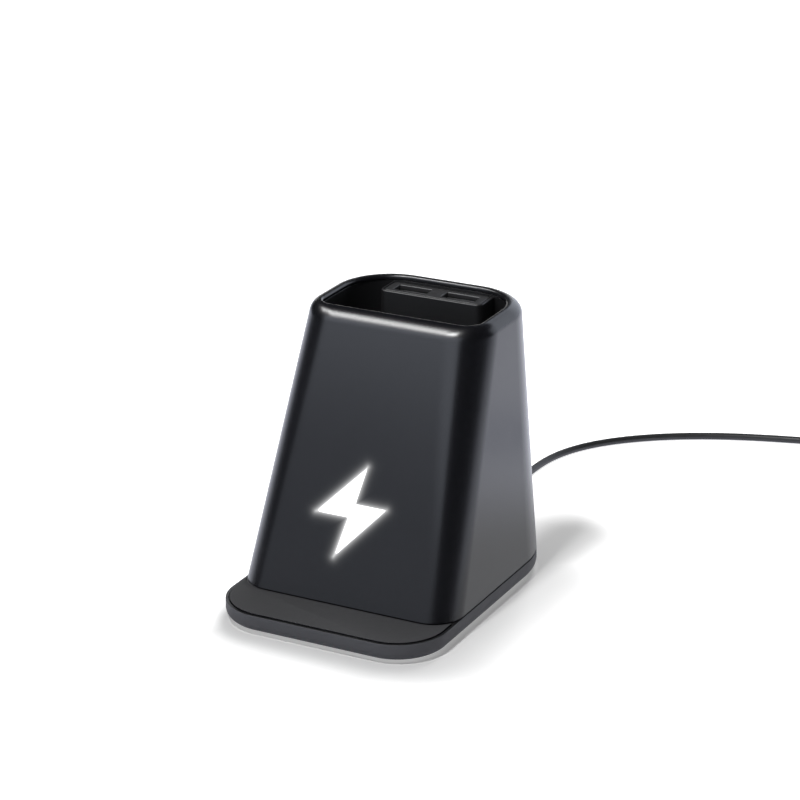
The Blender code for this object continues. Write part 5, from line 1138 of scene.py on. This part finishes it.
# A line behind the right corner where the glow stays low: a painted shadow that runs out further there.
painted_shadow_spine_distance = edge_distance(sweep_tree, sweep_flat, PAINTED_SHADOW_SPINE_START, PAINTED_SHADOW_SPINE_END)
painted_shadow_spine_reach = maths(sweep_tree, "SUBTRACT", painted_shadow_spine_distance, PAINTED_SHADOW_SPINE_RADIUS)
shadow_reach = maths(sweep_tree, "MINIMUM", foot_reach, painted_shadow_spine_reach)
# Painted light: a small glow under the base's overhang that lifts the dark joint.
contact = node(sweep_tree, "MapRange", {
    0: foot_reach, 1: CONTACT_INNER, 2: CONTACT_OUTER, 3: PAINTED_CONTACT_LIGHT, 4: 0.0}).outputs[0]
sweep_rays = node(sweep_tree, "LightPath").outputs
mirrored = maths(sweep_tree, "MAXIMUM", sweep_rays["Is Glossy Ray"], sweep_rays["Is Transmission Ray"])
# Painted shadow: the glow seen by the camera is lowest near the foot and rises with the distance.
seen_glow = maths(sweep_tree, "ADD", brightening(shadow_reach, SEEN_NEAR, SEEN_FAR, SEEN_LIFT), contact)
seen = maths(sweep_tree, "MULTIPLY", sweep_rays["Is Camera Ray"], seen_glow)
# Painted shade in reflections: the floor as mirrored is dimmer near the foot.
mirrored_glow = brightening(foot_reach, MIRRORED_NEAR, MIRRORED_FAR, MIRRORED_LIFT)
sweep_strength = maths(sweep_tree, "MULTIPLY_ADD", mirrored, mirrored_glow, seen)
sweep_colour = node(sweep_tree, "MixRGB", {0: mirrored, 1: WHITE, 2: FLOOR_MIRRORED}).outputs[0]
sweep_tree.links.new(sweep_strength, sweep_shader.inputs["Emission Strength"])
sweep_tree.links.new(sweep_colour, sweep_shader.inputs["Emission Color"])
ground.data.materials.append(sweep)
print("sweep has", len(sweep_tree.nodes), "nodes")

# %% [markdown]
# The room is white to the camera, dim as a light, and nearly dark in reflections. That darkness draws the
# two dark bands down the rounded front corners. The world can tell these apart by the kind of ray.

# %% Room
ROOM_MIRRORED, ROOM_LIGHT = 0.02, 0.25
world = bpy.data.worlds.new("studio")
bpy.context.scene.world = world
world.use_nodes = True
sky = world.node_tree
rays = node(sky, "LightPath").outputs
lighting = node(sky, "Mix", {0: rays["Is Glossy Ray"], 2: ROOM_LIGHT, 3: ROOM_MIRRORED}, data_type="FLOAT")
level = node(sky, "Mix", {0: rays["Is Camera Ray"], 2: lighting.outputs[0], 3: 1.0}, data_type="FLOAT")
sky.nodes["Background"].inputs[0].default_value = WHITE
sky.links.new(level.outputs[0], sky.nodes["Background"].inputs[1])
print("room has", len(sky.nodes), "nodes")

# %% [markdown]
# Two kinds of lamp stand round the holder. The panels and the highlight lamps only show in glossy
# surfaces, where their place and size draw the shape of every reflection: three of them in a row draw the
# bright line below the mouth. The keys only light matt surfaces, and they cast the shadows. One lamp for
# both would tie the reflections to the shadows, and neither could be matched alone. Only the weak fill
# in front does both.

# %% Lamps
LAMP_AIM = Vector((0.0, 0.0, 0.05))
COOL, NEUTRAL, PLAIN = (0.91, 0.97, 1.1), (1.0, 1.0, 0.98), (1.0, 1.0, 1.0)


def soft_box(name, azimuth, elevation, distance, width, height, brightness, matt=True, gloss=True,
             colour=PLAIN):
    """An area lamp that faces the holder from an azimuth and an elevation, in degrees.

    A flat lamp gives pi times its area times its brightness in watts.
    """
    lamp = bpy.data.lights.new(name, "AREA")
    lamp.shape, lamp.size, lamp.size_y = "RECTANGLE", width, height
    lamp.energy = math.pi * width * height * brightness
    lamp.color = colour
    box = bpy.data.objects.new(name, lamp)
    bpy.context.scene.collection.objects.link(box)
    a, e = math.radians(azimuth), math.radians(elevation)
    away = Vector((math.cos(a) * math.cos(e), math.sin(a) * math.cos(e), math.sin(e)))
    turn = (-away).to_track_quat("-Z", "Y").to_matrix().to_4x4()
    box.matrix_world = Matrix.Translation(LAMP_AIM + away * distance) @ turn
    box.visible_camera, box.visible_diffuse, box.visible_glossy = False, matt, gloss


soft_box("front panel", -106, 38, 0.6, 0.8, 0.36, 2.0, matt=False, colour=COOL)
soft_box("front fill", -110, 8, 0.9, 1.0, 0.3, 0.6, colour=COOL)
soft_box("highlight box", -149, 59.5, 1.6, 0.94, 0.28, 22.0, matt=False)
soft_box("highlight end", -106, 63, 1.6, 0.4, 0.31, 45.0, matt=False)
soft_box("highlight start", -176, 46, 1.6, 0.34, 0.26, 17.0, matt=False)
soft_box("front key", -96, 66, 1.2, 0.14, 0.14, 139.0, gloss=False)
soft_box("back key", 95, 52, 1.2, 0.4, 0.4, 14.3, gloss=False)
soft_box("back panel", 70, 18, 1.6, 2.3, 1.1, 1.4, matt=False, colour=COOL)
soft_box("low back panel", 122, 4, 1.6, 1.0, 0.24, 2.1, matt=False, colour=NEUTRAL)
bpy.context.scene.view_settings.view_transform = "Standard"
